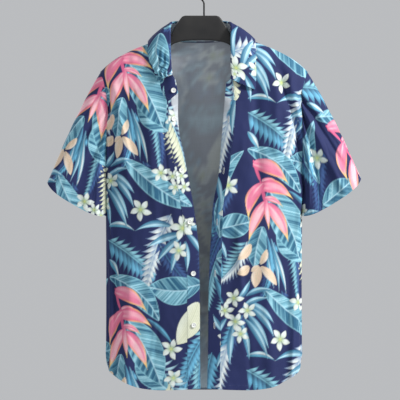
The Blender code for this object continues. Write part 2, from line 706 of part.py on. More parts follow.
def hanger_hook(material):
    """A round wire: a stem out of the board, bent into an open hook."""
    radius = HOOK_INNER + HOOK_WIRE
    centre = -HOOK_INNER
    board_top = NECK_LEVEL - BOARD["top"][0]
    start, end = math.radians(HOOK_START), math.radians(HOOK_END)
    join = (radius * math.cos(start), centre + radius * math.sin(start))
    reach = HOOK_BEND / 3
    bend = (
        (0, join[1] - HOOK_BEND),
        (0, join[1] - HOOK_BEND + reach * 1.6),
        (join[0] + reach * math.sin(start) * -1, join[1] + reach * math.cos(start)),
        join,
    )
    route = [(0, board_top + HOOK_GAP)]
    for k in range(BEND_STEPS):
        t = k / BEND_STEPS
        weights = ((1 - t) ** 3, 3 * t * (1 - t) ** 2, 3 * t * t * (1 - t), t**3)
        route.append(tuple(sum(w * p[i] for w, p in zip(weights, bend)) for i in (0, 1)))
    for k in range(CROWN_STEPS + 1):
        angle = start + (end - start) * k / CROWN_STEPS
        route.append((radius * math.cos(angle), centre + radius * math.sin(angle)))
    curve = bpy.data.curves.new("hanger_hook", "CURVE")
    curve.dimensions = "3D"
    curve.bevel_depth = HOOK_WIRE * MM
    curve.bevel_resolution = 2
    curve.use_fill_caps = True
    spline = curve.splines.new("POLY")
    spline.points.add(len(route) - 1)
    for point, (x, z) in zip(spline.points, route):
        point.co = (x * MM, 0, z * MM, 1)
    curve.materials.append(material)
    made = bpy.data.objects.new("hanger_hook", curve)
    bpy.context.scene.collection.objects.link(made)
    return made


def body_middle(points):
    """A line down the middle of the body, to tell out from in."""
    middle = points.copy()
    middle[..., 0] *= 0.55
    middle[..., 1] = 0
    middle[..., 2] += np.where(points[..., 2] < 90, 60, 0)
    return middle


def main():
    for old in list(bpy.data.objects):
        bpy.data.objects.remove(old)
    printed = make_material("printed_cloth", PRINT_NAVY, 0.7)
    collar_cloth = make_material("collar_cloth", PRINT_TEAL, 0.7)
    shell = make_material("button_shell", SHELL_WHITE, 0.3)
    black = make_material("hanger_black", HANGER_BLACK, 0.55)
    wire = make_material("hook_wire", HOOK_METAL, 0.35, 1.0)

    net = Net()
    fronts = {side: front_grid(side) for side in (-1, 1)}
    plackets = {side: placket_grid(side, fronts[side][NECK_STEPS:, 0]) for side in (-1, 1)}
    back = back_grid()
    for side, word in ((-1, "right"), (1, "left")):
        net.add(f"front_{word}", fronts[side], "body", seams=("top", "left", "right"))
        net.add(f"placket_{word}", plackets[side], "body", seams=("top", "right"))
        back_edge = back[:, 0] if side < 0 else back[:, -1]
        cut = slice(0, ARMHOLE_STEPS + 1)
        sleeve = sleeve_grid(side, fronts[side][cut, -1], back_edge[cut])
        net.add(f"sleeve_{word}", sleeve, word, closed=True, seams=("top",))
    # The back is one panel, made as four walls that meet at its middle lines.
    across_middle = back.shape[1] // 2
    upper, lower = slice(0, BACK_SPLIT_ROW + 1), slice(BACK_SPLIT_ROW, None)
    right, left = slice(0, across_middle + 1), slice(across_middle, None)
    for word, columns in (("right", right), ("left", left)):
        net.add(f"back_upper_{word}", back[upper, columns], "body", seams=ALL_SEAMS)
        net.add(f"back_lower_{word}", back[lower, columns], "body", seams=ALL_SEAMS[:3])

    half = SHOULDER_STEPS
    neckline = np.concatenate(
        [
            plackets[-1][0],
            fronts[-1][NECK_STEPS - 1 :: -1, 0],
            back[0, half + 1 : -half - 1],
            fronts[1][: NECK_STEPS + 1, 0],
            plackets[1][0, -2::-1],
        ]
    )
    folds, edges = collar_lines(neckline)
    net.add("collar_stand", stand_grid(neckline, folds), "body", seams=("top",), gap=STAND_GAP)
    part = slice(PLACKET_STEPS, len(neckline) - PLACKET_STEPS)
    stations = collar_stations(neckline)[0]
    leaf = leaf_grid(neckline[part], folds[part], edges[part], stations[part])
    net.add("collar_leaf", leaf, "leaf")
    net.finish(body_middle)

    walls = {"placket": PLACKET_WALL, "collar": COLLAR_WALL}
    for name, piece in net.pieces.items():
        cloth = collar_cloth if name.startswith("collar") else printed
        wall_object(name, piece, walls.get(name.split("_")[0], WALL), cloth)

    placket = net.pieces["placket_right"]
    for number, drop in enumerate(BUTTON_DROPS, 1):
        row = int(np.searchsorted(placket["grid"][:, 1, 2], drop))
        high, low = placket["grid"][row - 1, 1], placket["grid"][row, 1]
        place = high + (low - high) * (drop - high[2]) / (low[2] - high[2])
        normal = placket["normal"][row - 1, 1] + placket["normal"][row, 1]
        sew_button(f"button_{number}", place, normal, PLACKET_WALL, shell)
    stand = net.pieces["collar_stand"]
    sew_button("collar_button", stand["grid"][1, 1], stand["normal"][1, 1], COLLAR_WALL, shell)

    ridge = {
        -1: [(p[0], p[2]) for p in fronts[-1][0]],
        1: [(p[0], p[2]) for p in fronts[1][0]],
    }
    hanger_board(black, ridge)
    hanger_hook(wire)


main()
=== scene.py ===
"""Looks of a short-sleeved printed shirt that hangs open on a black hanger.

Cloth is worked in millimetres. "Drop" is the distance down from the level of the
neck's high points; "girth" runs round the body from 0 at the centre front over 1 at
a side seam to 2 at the centre back, negative on the wearer's right (-X).
"""

import math

import bmesh
import bpy
import numpy as np
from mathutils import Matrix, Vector


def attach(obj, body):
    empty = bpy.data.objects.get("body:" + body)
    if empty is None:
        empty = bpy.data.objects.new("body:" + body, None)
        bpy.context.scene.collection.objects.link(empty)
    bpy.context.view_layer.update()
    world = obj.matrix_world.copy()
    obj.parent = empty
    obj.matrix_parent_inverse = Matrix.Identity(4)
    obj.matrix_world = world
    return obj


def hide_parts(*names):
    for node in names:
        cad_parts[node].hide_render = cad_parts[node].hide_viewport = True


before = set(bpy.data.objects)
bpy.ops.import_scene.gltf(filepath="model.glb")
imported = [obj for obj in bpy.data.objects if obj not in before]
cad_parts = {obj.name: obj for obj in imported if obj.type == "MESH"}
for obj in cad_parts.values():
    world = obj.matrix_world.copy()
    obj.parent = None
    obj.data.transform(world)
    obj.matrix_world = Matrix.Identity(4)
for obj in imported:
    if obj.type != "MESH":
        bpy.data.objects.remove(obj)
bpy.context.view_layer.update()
bpy.ops.object.select_all(action="DESELECT")

# ---------------------------------------------------------------- camera and room
# A long lens square to the front of the shirt, a pale floor well below it, and large
# soft lights: the key to the upper right, a weaker one at the left, one behind.

MM = 0.001
VIEW_WIDTH = 0.84
VIEW_X, VIEW_Z = -0.0084, -0.4663
CAMERA_DISTANCE = 8.0
FRONT_Y = -0.045

camera_data = bpy.data.cameras.new("camera")
camera_data.sensor_width = 36.0
camera_data.lens = camera_data.sensor_width * CAMERA_DISTANCE / VIEW_WIDTH
camera = bpy.data.objects.new("camera", camera_data)
camera.location = (VIEW_X, FRONT_Y - CAMERA_DISTANCE, VIEW_Z)
camera.rotation_euler = (math.pi / 2, 0, 0)
bpy.context.scene.collection.objects.link(camera)
bpy.context.scene.camera = camera
bpy.context.scene.view_settings.view_transform = "Standard"

FLOOR_Z = -1.45
FLOOR_RADIUS = 3.0
PAPER_GREY = (0.45, 0.46, 0.47)
LIGHTS_AIM = Vector((0, 0, -0.45))  # the middle of the shirt
# Lights: name, place, size, power in watts, colour.
LIGHTS = (
    ("key", (2.5, -1.3, 1.2), 0.7, 128.0, (1.0, 0.985, 0.96)),
    ("fill", (-2.2, -2.4, -0.2), 2.2, 10.0, (0.95, 0.98, 1.0)),
    ("behind", (-1.6, 2.4, 0.9), 1.6, 34.0, (1.0, 1.0, 1.0)),
)
ROOM_LIGHT, ROOM_TINT = 0.52, (0.95, 0.97, 1.0)


def new_material(name):
    """An empty node material and its shader."""
    made = bpy.data.materials.new(name)
    made.use_nodes = True
    return made, made.node_tree.nodes["Principled BSDF"]


bpy.ops.mesh.primitive_circle_add(
    vertices=96, radius=FLOOR_RADIUS, fill_type="NGON", location=(0, 0, FLOOR_Z)
)
floor = bpy.context.object
floor.name = "studio_floor"
paper, shader = new_material("studio_paper")
shader.inputs["Base Color"].default_value = (*PAPER_GREY, 1)
shader.inputs["Roughness"].default_value = 0.9
floor.data.materials.append(paper)

for name, place, size, power, tint in LIGHTS:
    lamp_data = bpy.data.lights.new(name, "AREA")
    lamp_data.size = size
    lamp_data.energy = power
    lamp_data.color = tint
    lamp = bpy.data.objects.new(name, lamp_data)
    lamp.location = place
    lamp.rotation_euler = (LIGHTS_AIM - Vector(place)).to_track_quat("-Z", "Y").to_euler()
    bpy.context.scene.collection.objects.link(lamp)
world = bpy.data.worlds.new("soft_room")
bpy.context.scene.world = world
world.use_nodes = True
glow = world.node_tree.nodes["Background"]
glow.inputs["Color"].default_value = (*ROOM_TINT, 1)
glow.inputs["Strength"].default_value = ROOM_LIGHT

# ---------------------------------------------------------------- hanger board
# A flat moulded plate stands in the neck, with square shoulders at its top, and runs
# out into two arms under the shoulder seams. Matt black, its edges rounded over.

NECK_LEVEL = -134.5  # height of drop 0
NECK_X = -7.0  # the neck hangs a little to the wearer's right
BOARD_EDGE = 3.2  # rounding of the edges
PLATE_HALF_THICK = 6.6
# The block that the board is drawn out from: half width, top drop, bottom drop.
CORE_HALF_WIDE, CORE_TOP, CORE_BOTTOM = 4.0, -57.5, -6.0
# Stations of the plate, out from the neck's middle: distance, top drop, bottom drop.
PLATE_STATIONS = (
    (20, -57.5, -5.5),
    (33, -57.5, -4.2),
    (39, -55.5, -3.3),
    (43, -51, -2.6),
    (50, -41, -0.8),
    (57, -29, 2),
    (64, -15, 7),
    (73, -2, 14),
)
# Tables that are read through smooth curves: `at` is a distance from the middle plane.
RIDGE = {
    "at": (0, 45, 70, 88, 113, 155, 193, 211, 219),
    "drop": (-34, -25, -17, -10, 0, 17.5, 39, 54, 62),
}
# An arm of the hanger: its gap below the shoulder seam, and how deep it is.
ARM = {
    "at": (81, 113, 155, 193, 211),
    "gap": (5.4, 4.9, 4.6, 5.0, 7.0),
    "deep": (20, 20, 19, 16, 12),
}
ARM_STATIONS = (88, 100, 113, 134, 155, 174, 193, 203, 209)
ARM_HALF_THICK = 6.4
ARM_THINS_FROM, ARM_THINNING = 180, 0.03


def smooth(x, xs, ys):
    """Value at x of a smooth curve through the points (xs, ys), held flat outside."""
    xs, ys = np.asarray(xs, float), np.asarray(ys, float)
    x = np.clip(x, xs[0], xs[-1])
    slope = np.gradient(ys, xs)
    k = np.clip(np.searchsorted(xs, x, side="right") - 1, 0, len(xs) - 2)
    h = xs[k + 1] - xs[k]
    t = (x - xs[k]) / h
    return (
        ys[k] * (1 + 2 * t) * (1 - t) ** 2
        + ys[k + 1] * t * t * (3 - 2 * t)
        + h * slope[k] * t * (1 - t) ** 2
        - h * slope[k + 1] * t * t * (1 - t)
    )


def ramp(x, start, end):
    """0 before start, 1 after end, smooth between."""
    t = np.clip((x - start) / (end - start), 0, 1)
    return t * t * (3 - 2 * t)


def reading(table, key, at):
    """Value of one of a table's rows at a place along it."""
    return smooth(at, table["at"], table[key])


def ridge_drop(x):
    """Drop of the shoulder seam at a distance x from the middle plane."""
    return reading(RIDGE, "drop", x)


def board_rows(side):
    """Stations of one half of the board: x, heights of its top and bottom, half thickness."""
    rows = []
    for out, top, bottom in PLATE_STATIONS:
        rows.append((NECK_X + side * out, NECK_LEVEL - top, NECK_LEVEL - bottom, PLATE_HALF_THICK))
    for x in ARM_STATIONS:
        top = float(ridge_drop(x) + reading(ARM, "gap", x))
        deep = float(reading(ARM, "deep", x))
        half = ARM_HALF_THICK - max(0, x - ARM_THINS_FROM) * ARM_THINNING
        rows.append((side * x, NECK_LEVEL - top, NECK_LEVEL - top - deep, half))
    return rows


def select_facing(piece, direction):
    """In edit mode, selects the faces that look in a direction, and no others."""
    bpy.ops.mesh.select_all(action="DESELECT")
    shape = bmesh.from_edit_mesh(piece.data)
    for face in shape.faces:
        if face.normal.dot(Vector(direction)) > 0.9:
            face.select_set(True)
    bmesh.update_edit_mesh(piece.data)


def round_edges(piece, width, segments, angle):
    """Rounds the active piece's edges that turn by more than an angle, in degrees."""
    rounding = piece.modifiers.new("edges", "BEVEL")
    rounding.width = width * MM
    rounding.segments = segments
    rounding.limit_method = "ANGLE"
    rounding.angle_limit = math.radians(angle)
    bpy.ops.object.modifier_apply(modifier=rounding.name)


def shade(mesh, angle):
    """Shades a mesh smooth, but for edges that turn by more than an angle, in degrees."""
    mesh.shade_smooth()
    mesh.set_sharp_from_angle(angle=math.radians(angle))


core_top, core_bottom = NECK_LEVEL - CORE_TOP, NECK_LEVEL - CORE_BOTTOM
bpy.ops.mesh.primitive_cube_add(
    size=1,
    location=(NECK_X * MM, 0, (core_top + core_bottom) / 2 * MM),
    scale=(2 * CORE_HALF_WIDE * MM, 2 * PLATE_HALF_THICK * MM, (core_top - core_bottom) * MM),
)
board = bpy.context.object
board.name = "hanger_board"
bpy.ops.object.transform_apply(location=True, rotation=True, scale=True)
bpy.ops.object.mode_set(mode="EDIT")
for side in (1, -1):
    select_facing(board, (side, 0, 0))
    last = (NECK_X + side * CORE_HALF_WIDE, core_top, core_bottom, PLATE_HALF_THICK)
    for row in board_rows(side):
        bpy.ops.mesh.extrude_region_move(
            TRANSFORM_OT_translate={
                "value": (
                    (row[0] - last[0]) * MM,
                    0,
                    ((row[1] + row[2]) - (last[1] + last[2])) / 2 * MM,
                )
            }
        )
        bpy.ops.transform.resize(
            value=(1, row[3] / last[3], (row[1] - row[2]) / (last[1] - last[2])),
            center_override=(row[0] * MM, 0, (row[1] + row[2]) / 2 * MM),
        )
        last = row
bpy.ops.object.mode_set(mode="OBJECT")
round_edges(board, BOARD_EDGE, 4, 50)
shade(board.data, 40)


def link_noise(material, scale, detail, roughness, name):
    """A noise texture on object coordinates."""
    nodes, links = material.node_tree.nodes, material.node_tree.links
    place = nodes.new("ShaderNodeTexCoord")
    noise = nodes.new("ShaderNodeTexNoise")
    noise.name = name
    noise.inputs["Scale"].default_value = scale
    noise.inputs["Detail"].default_value = detail
    noise.inputs["Roughness"].default_value = roughness
    links.new(place.outputs["Object"], noise.inputs["Vector"])
    return noise


def spread(material, source, low, high):
    """Maps a value from 0-1 to low-high."""
    mapped = material.node_tree.nodes.new("ShaderNodeMapRange")
    mapped.inputs["To Min"].default_value = low
    mapped.inputs["To Max"].default_value = high
    material.node_tree.links.new(source, mapped.inputs["Value"])
    return mapped.outputs["Result"]


def tint_ramp(material, source, stops):
    """A colour ramp fed by a value: stops are (place, colour)."""
    ramp_node = material.node_tree.nodes.new("ShaderNodeValToRGB")
    elements = ramp_node.color_ramp.elements
    while len(elements) < len(stops):
        elements.new(0.5)
    for element, (place, colour) in zip(elements, stops):
        element.position = place
        element.color = (*colour, 1)
    material.node_tree.links.new(source, ramp_node.inputs["Fac"])
    return ramp_node.outputs["Color"]


def add_bump(material, shader, height, strength, distance):
    """Feeds a height into the shader's normal."""
    bump = material.node_tree.nodes.new("ShaderNodeBump")
    bump.inputs["Strength"].default_value = strength
    bump.inputs["Distance"].default_value = distance
    material.node_tree.links.new(height, bump.inputs["Height"])
    material.node_tree.links.new(bump.outputs["Normal"], shader.inputs["Normal"])


def mottled(name, noise, stops, roughness):
    """A material whose colour and roughness go with one noise, its shader, and the noise."""
    made, shader = new_material(name)
    value = link_noise(made, *noise).outputs["Fac"]
    made.node_tree.links.new(tint_ramp(made, value, stops), shader.inputs["Base Color"])
    made.node_tree.links.new(spread(made, value, *roughness), shader.inputs["Roughness"])
    return made, shader, value


BLACK_STOPS = ((0.3, (0.010, 0.010, 0.011)), (0.75, (0.022, 0.021, 0.020)))
black, shader, _ = mottled("moulded_black", (22, 4, 0.55, "cloudy"), BLACK_STOPS, (0.42, 0.62))
grain = link_noise(black, 900, 3, 0.6, "grain")
add_bump(black, shader, grain.outputs["Fac"], 0.25, 0.0003)
board.data.materials.append(black)
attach(board, "root")
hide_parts("hanger_body")

# ---------------------------------------------------------------- hanger hook
# A satin black wire, pressed into the top of the board, that swings aside and round
# the crown of an open hook. Its free end is cut and rounded.

HOOK_WIRE = 1.8  # radius
HOOK_INNER = 21.0
HOOK_START, HOOK_END = 205.0, -38.0  # degrees round the crown
CROWN_STEPS = 48
HOOK_BEND, BEND_STEPS = 22.0, 16  # height of the bend that swings aside
BEND_EASE = 1.6  # thirds of it that start upright
STEM_SUNK, STEM_STRAIGHT = 4.0, 4.0  # below and above the top of the board
CUT_ROUNDING = 0.7


def bezier(handles, t):
    """Points of a cubic curve between its four handles, for t from 0 to 1."""
    t = t[:, None]
    weights = np.hstack([(1 - t) ** 3, 3 * t * (1 - t) ** 2, 3 * t * t * (1 - t), t**3])
    return weights @ np.array(handles, float)


def wire_mesh(name, routes, radius, roundness, material):
    """Lengths of round wire or thread, each given by its points in metres, as one mesh."""
    line = bpy.data.curves.new(name, "CURVE")
    line.dimensions = "3D"
    line.bevel_depth = radius * MM
    line.bevel_resolution = roundness
    line.use_fill_caps = True
    for route in routes:
        spline = line.splines.new("POLY")
        spline.points.add(len(route) - 1)
        for point, place in zip(spline.points, route):
            point.co = (*place, 1)
    made = bpy.data.objects.new(name, line)
    bpy.context.scene.collection.objects.link(made)
    bpy.ops.object.select_all(action="DESELECT")
    made.select_set(True)
    bpy.context.view_layer.objects.active = made
    bpy.ops.object.convert(target="MESH")
    made = bpy.context.object
    made.data.materials.clear()
    made.data.materials.append(material)
    made.data.shade_smooth()
    return made


hook_radius = HOOK_INNER + HOOK_WIRE
hook_start, hook_end = math.radians(HOOK_START), math.radians(HOOK_END)
join = (hook_radius * math.cos(hook_start), -HOOK_INNER + hook_radius * math.sin(hook_start))
third = HOOK_BEND / 3
bend = (
    (0, join[1] - HOOK_BEND),
    (0, join[1] - HOOK_BEND + third * BEND_EASE),
    (join[0] - third * math.sin(hook_start), join[1] + third * math.cos(hook_start)),
    join,
)
wire_route = [(0, core_top - STEM_SUNK), (0, core_top + STEM_STRAIGHT)]
wire_route += bezier(bend, np.arange(BEND_STEPS) / BEND_STEPS).tolist()
for step in range(CROWN_STEPS + 1):
    angle = hook_start + (hook_end - hook_start) * step / CROWN_STEPS
    wire_route.append((hook_radius * math.cos(angle), -HOOK_INNER + hook_radius * math.sin(angle)))
WORN_STOPS = ((0.35, (0.014, 0.014, 0.015)), (0.8, (0.05, 0.05, 0.052)))
wire_paint, shader, _ = mottled("hook_paint", (260, 4, 0.6, "worn"), WORN_STOPS, (0.22, 0.45))
shader.inputs["Metallic"].default_value = 0.85
hook_points = [(x * MM, 0, z * MM) for x, z in wire_route]
hook = wire_mesh("hanger_hook_wire", [hook_points], HOOK_WIRE, 5, wire_paint)
round_edges(hook, CUT_ROUNDING, 3, 60)
shade(hook.data, 60)
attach(hook, "root")
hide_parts("hanger_hook")

# ---------------------------------------------------------------- printed cloth
# Light rayon shirting, printed on one side with leaves and flowers on indigo; the
# wrong side is pale, with the print just showing through. The print repeats in a
# half drop. Each motif is drawn from its formula, in cloth millimetres (x, drop).

REPEAT_DROP = (-3.0, 542.0)
REPEAT_HALF = (-300.0, 269.0)
SOFT_EDGE = 1.5  # width of a motif's blended outline
WOBBLES = 64  # random values each way, before they repeat
GROUND_SEED, GROUND_BLOTCH = 3, 60
RIB_SEEDS, RIB_PITCH = (11, 12), 5.5
STREAK_SEED = 21

INK = {
    "ground": (36, 46, 94),
    "deep": (25, 34, 76),
    "dusk": (66, 98, 152),
    "teal": (70, 138, 164),
    "teal_dark": (34, 84, 118),
    "teal_light": (146, 206, 222),
    "blue": (70, 116, 170),
    "cyan": (108, 182, 216),
    "pale": (186, 226, 240),
    "white": (226, 236, 234),
    "green": (158, 190, 150),
    "lime": (206, 214, 132),
    "cream": (222, 226, 202),
    "straw": (188, 196, 168),
    "pink": (230, 128, 160),
    "rose": (206, 92, 132),
    "blush": (248, 196, 206),
    "orange": (240, 150, 112),
    "gold": (246, 212, 124),
    "peach": (236, 206, 182),
    "wrong_side": (205, 212, 218),
}


def ink(name):
    """A print colour, in linear light."""
    value = np.array(INK[name], float) / 255
    return np.where(value <= 0.04045, value / 12.92, ((value + 0.055) / 1.055) ** 2.4)


def mix(first, second, share):
    """Blends colours by a share per point."""
    share = np.asarray(share, float)[..., None]
    return first * (1 - share) + second * share


def lay(patch, mask, colour):
    """Prints a colour over a patch of points."""
    patch["rgb"] += mask[:, None] * (colour - patch["rgb"])


def leaf_shape(xy, base, tip, half, bow, belly=0.45, ends=(0.8, 0.8), flick=0.0):
    """Mask of a leaf from base to tip, with places along (0-1) and across (mm) it.

    half is its half width, bow how far its middle swings to the right of its run and
    flick how far its tip does; belly is where it is widest, ends how sharp its ends are.
    """
    base, tip = np.array(base, float), np.array(tip, float)
    length = float(np.hypot(*(tip - base)))
    run = (tip - base) / length
    place = xy - base
    along = np.clip(place @ run / length, 1e-4, 1 - 1e-4)
    swing = bow * 4 * along * (1 - along) + flick * along**3
    across = place @ np.array((-run[1], run[0])) - swing
    point = ends[0] + (ends[1] - ends[0]) * along
    width = half * np.sin(math.pi * along ** (math.log(0.5) / math.log(belly))) ** point
    within = np.abs(place @ run / length - 0.5) < 0.5
    mask = np.clip((width - np.abs(across)) / SOFT_EDGE + 0.5, 0, 1) * within
    return mask, along, across, width


def wobble(xy, size, seed):
    """Smooth random values from 0 to 1, one blotch about every `size` millimetres."""
    table = np.random.default_rng(seed).random((WOBBLES, WOBBLES))
    place = xy / size
    cell = np.floor(place).astype(int)
    part = place - cell
    u, v = np.moveaxis(part * part * (3 - 2 * part), -1, 0)
    i, j = np.moveaxis(cell % WOBBLES, -1, 0)
    after, below = (i + 1) % WOBBLES, (j + 1) % WOBBLES
    top = table[i, j] * (1 - u) + table[after, j] * u
    low = table[i, below] * (1 - u) + table[after, below] * u
    return top * (1 - v) + low * v


def banana_leaf(patch, base, tip, half, bow):
    """A broad leaf with uneven ribs, one half lighter, and a pale midrib and outline."""
    mask, along, across, width = leaf_shape(patch["xy"], base, tip, half, bow, 0.5, (0.6, 0.75))
    lines = (along * math.dist(base, tip) - 0.85 * np.abs(across)) / RIB_PITCH
    ribs = np.stack([lines, np.sign(across) * 3 + base[1]], -1)
    broad, fine = wobble(ribs, 1, RIB_SEEDS[0]), wobble(ribs * (2.7, 1), 1, RIB_SEEDS[1])
    side = across / (width + 0.5)
    light = 0.42 + 1.2 * (broad - 0.5) + 0.8 * (fine - 0.5) - 0.3 * np.sign(side) * (1 - np.abs(side))
    colour = mix(ink("teal_dark"), ink("teal_light"), np.clip(light, 0, 1))
    colour = mix(colour, ink("teal"), 0.22)
    colour = mix(colour, ink("pale"), 0.45 * ramp(light, 0.75, 1.15))
    colour = mix(colour, ink("pale"), 0.8 * np.exp(-((across / 1.2) ** 2)))
    colour = mix(colour, ink("teal_light"), 0.8 * np.exp(-(((width - np.abs(across)) / 1.8) ** 2)))
    lay(patch, mask, colour)


LANCE_TINTS = {"cyan": ("teal_dark", "pale"), "white": ("teal", "white"), "blue": ("deep", "cyan")}


def lance_leaf(patch, base, tip, half, bow, tint):
    """A narrow leaf, paler along one side, that darkens to its base."""
    mask, along, across, width = leaf_shape(patch["xy"], base, tip, half, bow, 0.42, (0.8, 1.2))
    side = across / (width + 0.3)
    dark, light = LANCE_TINTS[tint]
    glow = np.exp(-(((side + 0.35) / 0.45) ** 2)) * (0.35 + 0.65 * ramp(along, 0.1, 0.55))
    colour = mix(ink(dark), ink("cyan"), np.clip(0.25 + 0.5 * along - 0.3 * side, 0, 1))
    colour = mix(colour, ink(light), np.clip(glow, 0, 1))
    colour = mix(colour, ink("teal_dark"), 0.5 * np.exp(-(((across - 0.3) / 0.8) ** 2)))
    lay(patch, mask, colour)


FROND_TINTS = {
    "spiky": ("teal_dark", "teal_light", 0.33),
    "white": ("blue", "white", 0.34),
    "blue": ("deep", "cyan", 0.50),
    "bars": ("teal_dark", "pale", 0.26),
    "cream": ("straw", "cream", 0.38),
    "dusk": ("deep", "dusk", 0.42),
}


def frond(patch, row):
    """A palm frond: curved leaflets on either side of a pale rachis."""
    base, tip = np.array(row[:2], float), np.array(row[2:4], float)
    bow, count = row[4:6]
    reach, lean, tints = row[6:8], row[8:10], row[10:]
    length = math.dist(base, tip)
    run = (tip - base) / length
    normal = np.array((-run[1], run[0]))
    pitch = length / count
    for side, sign in ((0, -1), (1, 1)):
        dark, light, fill = FROND_TINTS[tints[side]]
        for k in range(count):
            t = (k + 0.35) / count
            root = base + (tip - base) * t + normal * bow * 4 * t * (1 - t)
            heading = run + normal * bow * 4 * (1 - 2 * t) / length
            angle = math.radians(lean[side] * (1 - 0.4 * t)) * sign
            turn = np.array(((math.cos(angle), -math.sin(angle)), (math.sin(angle), math.cos(angle))))
            out = turn @ heading
            long = reach[side] * (0.72 + 1.2 * t * (1 - t)) * (1 - 0.55 * t**2)
            mask, along, across, width = leaf_shape(
                patch["xy"], root, root + out * long, pitch * fill, -sign * long * 0.12, 0.36, (0.7, 1.2)
            )
            glow = np.exp(-(((along - 0.5) / 0.3) ** 2)) * (0.75 - 0.35 * across / (width + 0.3))
            lay(patch, mask, mix(ink(dark), ink(light), np.clip(0.12 + glow, 0, 1)))
    mask = leaf_shape(patch["xy"], base, tip, 1.2, bow, 0.3, (0.4, 0.4))[0]
    lay(patch, mask, mix(ink(FROND_TINTS[tints[0]][1]), ink("teal"), 0.4))


def bloom(patch, row):
    """A five-petalled blossom, cream white with a green throat."""
    centre, (radius, turn) = np.array(row[:2], float), row[2:]
    for k in range(5):
        angle = math.radians(turn + 72 * k)
        out = np.array((math.cos(angle), math.sin(angle)))
        tip = centre + out * radius * (1.12 - 0.1 * (k % 2))
        mask, along, across, width = leaf_shape(
            patch["xy"], centre, tip, radius * 0.27, radius * 0.07, 0.54, (0.9, 0.85)
        )
        colour = mix(ink("green"), ink("white"), ramp(along, 0.05, 0.55))
        side = np.clip(across / (width + 0.2), -1, 1)
        tinge = 0.6 * ramp(side, 0.1, 1.0) + 0.3 * np.exp(-((across / 0.8) ** 2))
        colour = mix(colour, ink("straw"), tinge)
        lay(patch, mask, colour)
    away = np.hypot(*(patch["xy"] - centre).T)
    lay(patch, 0.9 * np.exp(-((away / (0.15 * radius)) ** 2)), ink("lime"))


def bract(patch, base, tip, half, bow, flick):
    """A heliconia bract: streaked pink, with orange edges and a long golden tip."""
    mask, along, across, width = leaf_shape(patch["xy"], base, tip, half, bow, 0.36, (0.5, 1.5), flick)
    side = across / (width + 0.3)
    streak = wobble(np.stack([side * 2.6 + base[1], along * 2 + base[0]], -1), 1, STREAK_SEED)
    colour = mix(ink("pink"), ink("blush"), np.clip(2.0 * (streak - 0.3), 0, 1))
    colour = mix(colour, ink("rose"), 0.75 * ramp(np.abs(side), 0.3, 0.95) * (1 - ramp(along, 0.35, 0.75)))
    colour = mix(colour, ink("rose"), 0.5 * (1 - ramp(along, 0.0, 0.22)))
    colour = mix(colour, ink("orange"), 0.85 * ramp(np.abs(side), 0.5, 1.0) * ramp(along, 0.15, 0.55))
    colour = mix(colour, ink("gold"), 0.8 * ramp(np.abs(side), 0.75, 1.0) * ramp(along, 0.3, 0.6))
    colour = mix(colour, ink("gold"), ramp(along, 0.7, 0.93))
    lay(patch, mask, colour)


def tinted_petal(patch, base, tip, half, bow, tint, vein):
    """A plain petal or leaf with fine veins along it."""
    mask, along, across, width = leaf_shape(patch["xy"], base, tip, half, bow, 0.48, (0.62, 0.8))
    lines = 0.5 + 0.5 * np.cos(across * 1.6 + along * 4)
    veined = np.clip(0.5 * lines**3 + 0.35 * np.exp(-((across / 0.9) ** 2)), 0, 1)
    colour = mix(ink(tint), ink(vein), veined)
    colour = mix(colour, ink("white"), 0.35 * ramp(across / (width + 0.3), 0.1, 0.9))
    lay(patch, mask, colour)


# Layout of one repeat. Fronds: foot x, drop, tip x, drop, bow, leaflets, reach left and
# right of the run, lean left and right, tints left and right.
FRONDS = (
    (16, 50, -6, 205, 6, 14, 42, 44, 55, 55, "blue", "spiky"),
    (-14, 250, 26, 360, -6, 11, 36, 38, 52, 52, "dusk", "blue"),
    (24, 395, 2, 500, 5, 11, 34, 36, 52, 52, "spiky", "dusk"),
    (-208, 416, -108, 491, -5, 11, 34, 54, 52, 62, "spiky", "blue"),
    (-69, 361, -124, 522, 8, 13, 40, 40, 52, 52, "white", "white"),
    (-2, 630, -46, 729, 5, 11, 38, 31, 52, 60, "blue", "blue"),
    (-95, 134, -35, 275, -10, 14, 46, 46, 78, 72, "bars", "cream"),
    (-232, 556, -298, 690, 6, 15, 34, 34, 50, 50, "dusk", "dusk"),
    (-120, 640, -96, 800, -6, 16, 38, 34, 48, 48, "dusk", "spiky"),
    (-150, 690, -176, 800, -4, 13, 30, 34, 40, 40, "blue", "dusk"),
    (-214, 300, -268, 420, 5, 13, 36, 32, 55, 50, "dusk", "blue"),
    (-96, 420, -20, 520, 6, 14, 32, 34, 52, 52, "dusk", "dusk"),
    (-130, 250, -88, 330, 4, 10, 28, 28, 50, 50, "dusk", "dusk"),
    (-208, 687, -268, 771, -7, 12, 40, 40, 40, 70, "white", "spiky"),
    (-250, 900, -276, 1020, 4, 10, 40, 42, 44, 44, "white", "white"),
)
